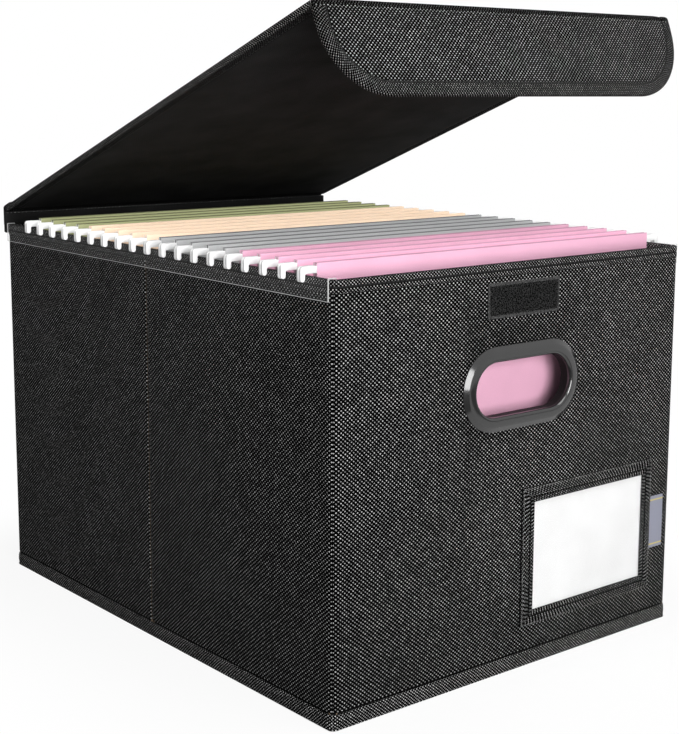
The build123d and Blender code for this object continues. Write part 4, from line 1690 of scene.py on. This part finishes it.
@dataclass
class FolderSet:
    """Nineteen hanging folders, each with folded paper, two bars and four hooks.

    Paper is its thickness, pitch the way between a folder's two top edges, hem how far they are turned down,
    and bar a bar's thickness and height. Crest_step is how many steps of the section at each top edge are
    painted shade, in the paper's darker copy. Arm is a hook's arm from its lower to its upper face, and leg
    the leg from its inner to its outer.
    """

    finishes: Finishes
    counts: tuple[tuple[PaperColour, int], ...] = ((PaperColour.PINK, 5), (PaperColour.GREY, 5),
                                                   (PaperColour.PEACH, 5), (PaperColour.OLIVE, 4))
    paper: float = 0.4 * MM
    pitch: float = 2.4 * MM
    hem: float = 10.0 * MM
    bar: Mark = (0.48 * MM, 4.0 * MM)
    crest_step: int = 10
    hook_thick: float = 1.8 * MM
    arm: Mark = (276.25 * MM, 280.75 * MM)
    leg: Mark = (158.1 * MM, 161.5 * MM)
    leg_foot: float = 271.45 * MM
    paper_half: float = 149.3 * MM

    def build(self) -> list[Object]:
        """Build every folder.

        Returns:
            The folders, from the front.
        """
        number = 0
        made = []
        for kind, count in self.counts:
            slot, tone, shade = kind.value
            # painted shade: each paper also gets a darker copy, for the crests and the inside of the folder
            finish = tuple(FileCard(name, colour).material()
                           for name, colour in ((slot, tone), (slot + "_inside", toned(tone, shade))))
            for _ in range(count):
                number += 1
                made.append(self.build_folder(number, finish, slot))
        return made

    def paper_section(self, middle: float, low: float, high: float) -> list[Mark]:
        """The section of a folded sheet whose two top edges are turned over a bar.

        Args:
            middle: its place along Y.
            low: the fold's height.
            high: the top edges' height.

        Returns:
            The closed section in Y and Z.
        """
        half = self.paper / 2
        bend = 0.45 * MM
        outer = self.pitch / 2 + bend
        inner = self.pitch / 2 - bend
        one = near(inner, high - self.hem, (0.45, 0), (0.2, 2.2), (0, 4))
        one += arc((self.pitch / 2, high - half - bend), bend, 180, 0, 8)
        one += [(outer, high - self.hem), (outer, (low + high) / 2)]
        one += arc((0.0, low + half + outer), outer, 0, -90, 6)
        other = [(-y, z) for y, z in reversed(one[:-1])]
        return [(middle + y, z) for y, z in thicken([*one, *other], self.paper)]

    def hook_section(self) -> list[Mark]:
        """A hook seen from the front: an arm over the rail and a leg outside it.

        Returns:
            The closed section in X and Z.
        """
        low, high = self.arm
        inner, outer = self.leg
        radius = (outer - inner) / 2
        root = self.paper_half + 0.1 * MM
        shoulder = 2.2 * MM
        points = [(root, low), (inner - 0.6 * MM, low), (inner, low - 0.6 * MM)]
        points += arc((inner + radius, self.leg_foot + radius), radius, 180, 360, 8)
        points += arc((outer - shoulder, high - shoulder), shoulder, 0, 90, 6)
        points += [(root + 1.2 * MM, high), (root, high - 0.4 * MM)]
        return points

    def build_folder(self, number: int, finish: tuple[Material, Material], slot: str) -> Object:
        """Build one folder.

        Args:
            number: its place from the front, from 1.
            finish: the paper's material, and its darker copy painted as shade on the crests and inside the
                fold.
            slot: the record's slot of the paper.

        Returns:
            The folder.
        """
        node = f"folder_{number:02d}"
        low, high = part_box(node)
        middle = (low.y + high.y) / 2
        section = self.paper_section(middle, low.z, high.z)
        span, turned = self.paper_half, self.crest_step
        steps = len(section) // 2 - 1
        edges = [*range(steps), steps, *reversed(range(steps)), steps]
        outside, plastic, inside = range(3)
        # painted shade: the hems turned down inside the folder and the crests of its top edges take the
        # paper's darker copy
        paints = [inside if edge < turned or edge >= steps - turned else outside for edge in edges]
        skin = Extrusion(section, [(-span, 0.0), (0.0, 0.0), (span, 0.0)], upright, paints).skin()
        bar_z = (self.arm[0] - 0.1 * MM + self.arm[1]) / 2
        for end in (-1, 1):
            at = middle + end * self.pitch / 2
            w, h = self.bar[0] / 2, self.bar[1] / 2
            crest = high.z - 0.47 * MM
            shoulder = crest - 0.3 * MM
            foot = bar_z - h
            bar = [(at - w, foot), (at + w, foot), (at + w, shoulder), (at, crest), (at - w, shoulder)]
            ends = [(-span - 0.1 * MM, 0.0), (span + 0.1 * MM, 0.0)]
            Extrusion(bar, ends, upright, [plastic] * len(bar), plastic).skin(skin)
            half, bevel = self.hook_thick / 2, 0.3 * MM
            for side in (-1, 1):
                rings = [(at - half, bevel), (at - half + bevel * 0.4, bevel * 0.3),
                         (at - half + bevel, 0.0), (at + half - bevel, 0.0),
                         (at + half - bevel * 0.4, bevel * 0.3), (at + half, bevel)]
                hook = self.hook_section()
                Extrusion(hook, rings, lambda y, x, z, s=side: Vector((s * x, y, z)),
                          [plastic] * len(hook), plastic).skin(skin)
        made = skin.piece(f"hanging_{node}", [finish[0], self.finishes.hook, finish[1]], sharp=35.0)
        return settle(made, f"{node}_body", slot, node)


# --- Studio ---
@dataclass(frozen=True)
class Lamp:
    """A soft area lamp that points at a spot."""

    name: str
    place: Point
    target: Point
    size: float
    power: float

    def build(self) -> Object:
        """Hang the lamp.

        Returns:
            Its object.
        """
        data = bpy.data.lights.new(self.name, "AREA")
        data.shape = "SQUARE"
        data.size = self.size
        data.energy = self.power
        made = stand(self.name, data)
        made.location = self.place
        way = Vector(self.target) - Vector(self.place)
        made.rotation_euler = way.to_track_quat("-Z", "Y").to_euler()
        made.visible_camera = False
        return made


@dataclass
class Studio:
    """Camera, floor, surroundings and lamps.

    Offset is where the model's origin lies from the camera: right of it, above it and behind it. Focal and
    principal are in pixels of the frame. Shade_half is half the floor's shaded part, which turns white over
    shade_fade. A tray lamp comes with how many folders in front it leaves out, and a flag is its middle and
    half its width and height.
    """

    azimuth: float = math.radians(-40.8991)
    elevation: float = math.radians(9.2159)
    roll: float = math.radians(0.57)
    offset: Point = (-0.05675, -0.20747, -1.15182)
    focal: float = 1488.386
    frame: tuple[int, int] = (679, 734)
    principal: Mark = (400.0, 320.0)
    ambient: float = 0.22
    floor_half: float = 6.0
    floor_drop: float = 0.4 * MM
    shade_half: Mark = (0.16, 0.21)
    shade_fade: float = 0.16
    lamps: tuple[Lamp, ...] = (
        Lamp("key_lamp", (-0.4, -1.18, 0.38), (0.0, -0.2, 0.18), 0.55, 11.2),
        Lamp("top_lamp", (-0.1, -1.4, 2.6), (0.0, 0.0, 0.2), 1.8, 40.0),
    )
    tray_lamps: tuple[tuple[Lamp, int], ...] = (
        (Lamp("tray_lamp", (-0.2, -1.6, 1.5), (0.0, 0.0, 0.28), 1.0, 17.0), 1),
        (Lamp("rear_tray_lamp", (-0.2, -1.2, 1.5), (0.0, 0.1, 0.28), 1.0, 20.0), 10))
    glint_lamp: Lamp = Lamp("glint_lamp", (-0.6, -1.6, 0.92), (0.0, -0.2, 0.19), 0.28, 4.5)
    flags: tuple[tuple[Point, Point, Point], ...] = (
        ((-1.15, -1.0, 0.35), (0.62, -0.72, 0.0), (0.0, 0.0, 0.5)),
        ((0.45, -1.0, 0.003), (0.2, 0.0, 0.0), (0.0, 0.36, 0.0)),
        ((-0.58, -0.85, 0.003), (0.5, 0.0, 0.0), (0.0, 0.62, 0.0)))

    def build(self) -> None:
        """Build the studio."""
        self.build_camera()
        self.build_floor()
        self.build_world()
        for lamp in self.lamps:
            lamp.build()
        self.glint_lamp.build().visible_diffuse = False
        self.build_flags()
        bpy.context.scene.view_settings.view_transform = "Standard"

    def build_flags(self) -> None:
        """Dark boards in front, seen only in reflections, which draw the edges of glossy plastic."""
        black = Moulded("flag_black", grey(0.01), 0.9).material()
        for number, flag in enumerate(self.flags):
            centre, half, tall = (Vector(point) for point in flag)
            board = square(f"flag_{number}", [centre + a * half + b * tall for a, b in CORNERS], black)
            for ray in ("camera", "diffuse", "transmission", "shadow", "volume_scatter"):
                setattr(board, "visible_" + ray, False)

    def light_tray(self, papers: Sequence[Object]) -> None:
        """Give the folders under the lid the light that they have when it is off.

        Args:
            papers: the folders, from the front.
        """
        for lamp, first in self.tray_lamps:
            group = bpy.data.collections.new(lamp.name)
            for paper in papers[first:]:
                group.objects.link(paper)
            made = lamp.build()
            made.light_linking.receiver_collection = group
            made.light_linking.blocker_collection = group

    def build_camera(self) -> None:
        """Place the camera."""
        ca, sa = math.cos(self.azimuth), math.sin(self.azimuth)
        ce, se = math.cos(self.elevation), math.sin(self.elevation)
        back = Vector((sa * ce, -ca * ce, se))
        level = Vector((0, 0, 1)).cross(back).normalized()
        upward = back.cross(level)
        cr, sr = math.cos(self.roll), math.sin(self.roll)
        right = level * cr + upward * sr
        up = upward * cr - level * sr
        tx, ty, tz = self.offset
        place = -tx * right - ty * up - tz * back
        data = bpy.data.cameras.new("camera")
        width, height = self.frame
        data.sensor_width = 36.0
        data.lens = self.focal * data.sensor_width / height
        data.shift_x = -(self.principal[0] - width / 2) / height
        data.shift_y = (self.principal[1] - height / 2) / height
        data.clip_start = 0.05
        made = stand("camera", data)
        made.matrix_world = Matrix((*zip(right, up, back, place), (0, 0, 0, 1)))
        bpy.context.scene.camera = made

    def build_floor(self) -> None:
        """A pale floor that keeps the shadow near the box and is white further off."""
        g = Graph("floor")
        path = g.node("LightPath").outputs
        mirrored = g.math("MAXIMUM", path["Is Glossy Ray"], path["Is Transmission Ray"])
        seen = g.math("MAXIMUM", path["Is Camera Ray"], mirrored)
        x, y, _ = g.split(g.object_place())
        off = [g.math("MAXIMUM", g.less(g.math("ABSOLUTE", value), half), 0.0)
               for value, half in zip((x, y), self.shade_half)]
        distance = g.math("SQRT", g.add(g.times(off[0], off[0]), g.times(off[1], off[1])))
        far = g.times(g.ramp(distance, 0.0, self.shade_fade, 0.9, 1.0), seen)
        grain = g.times(g.stretch(g.noise(g.object_place(), 0.01), 0.9, 0.93),
                        g.ramp(seen, 0.0, 1.0, 0.4, 1.0))
        plain = g.node("BsdfDiffuse")
        tone = g.node("CombineColor", dict.fromkeys(range(3), grain))
        g.feed(plain.inputs["Color"], tone.outputs[0])
        glow = g.node("Emission", {"Color": grey(1.0)})
        blend = g.node("MixShader", {0: far, 1: plain.outputs[0], 2: glow.outputs[0]})
        g.feed(g.tree.nodes["Material Output"].inputs["Surface"], blend.outputs[0])
        corners = [Vector((a * self.floor_half, b * self.floor_half, -self.floor_drop)) for a, b in CORNERS]
        square("floor", corners, g.material)

    def build_world(self) -> None:
        """White where it is seen or reflected, and a softer light on the box."""
        world = bpy.data.worlds.new("studio")
        bpy.context.scene.world = world
        world.use_nodes = True
        sky = Tree(world.node_tree)
        path = sky.node("LightPath").outputs
        seen = sky.math("MAXIMUM", path["Is Camera Ray"], path["Is Glossy Ray"])
        seen = sky.math("MAXIMUM", seen, path["Is Transmission Ray"])
        level = sky.node("MapRange", {"Value": seen, "To Min": self.ambient, "To Max": 1.0})
        ground = sky.tree.nodes["Background"].inputs
        sky.feed(ground["Color"], grey(1.0))
        sky.feed(ground["Strength"], level.outputs["Result"])


def main() -> None:
    """Build the file box and its studio."""
    logging.basicConfig(level=logging.INFO, format="%(name)s: %(message)s")
    studio = Studio()
    studio.build()
    finishes = Finishes(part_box("side_tag"))
    stitcher = Stitcher(finishes.thread)
    BoxBody(finishes, stitcher).build()
    LabelPocket(finishes).build()
    lid = LidAssembly(finishes, stitcher)
    lid.build()
    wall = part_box("loop_strip")[1].y
    (_, middle), half = front_view("loop_strip")
    ClosureTape(finishes, stitcher, "loop_strip", Pile.LOOPS, Body.BOX,
                lambda a, b, out: Vector((a, wall - out, b)), (0.0, middle), half).build(seed=3)
    ClosureTape(finishes, stitcher, "hook_strip", Pile.HOOKS, Body.FLAP,
                lambda a, b, out: lid.on_flap(a, b, -out), (0.0, middle), (half[0], 10.0 * MM),
                plain_edge=1.2 * MM, density=1.6e6).build(seed=5)
    studio.light_tray(FolderSet(finishes).build())


if __name__ == "__main__":
    main()
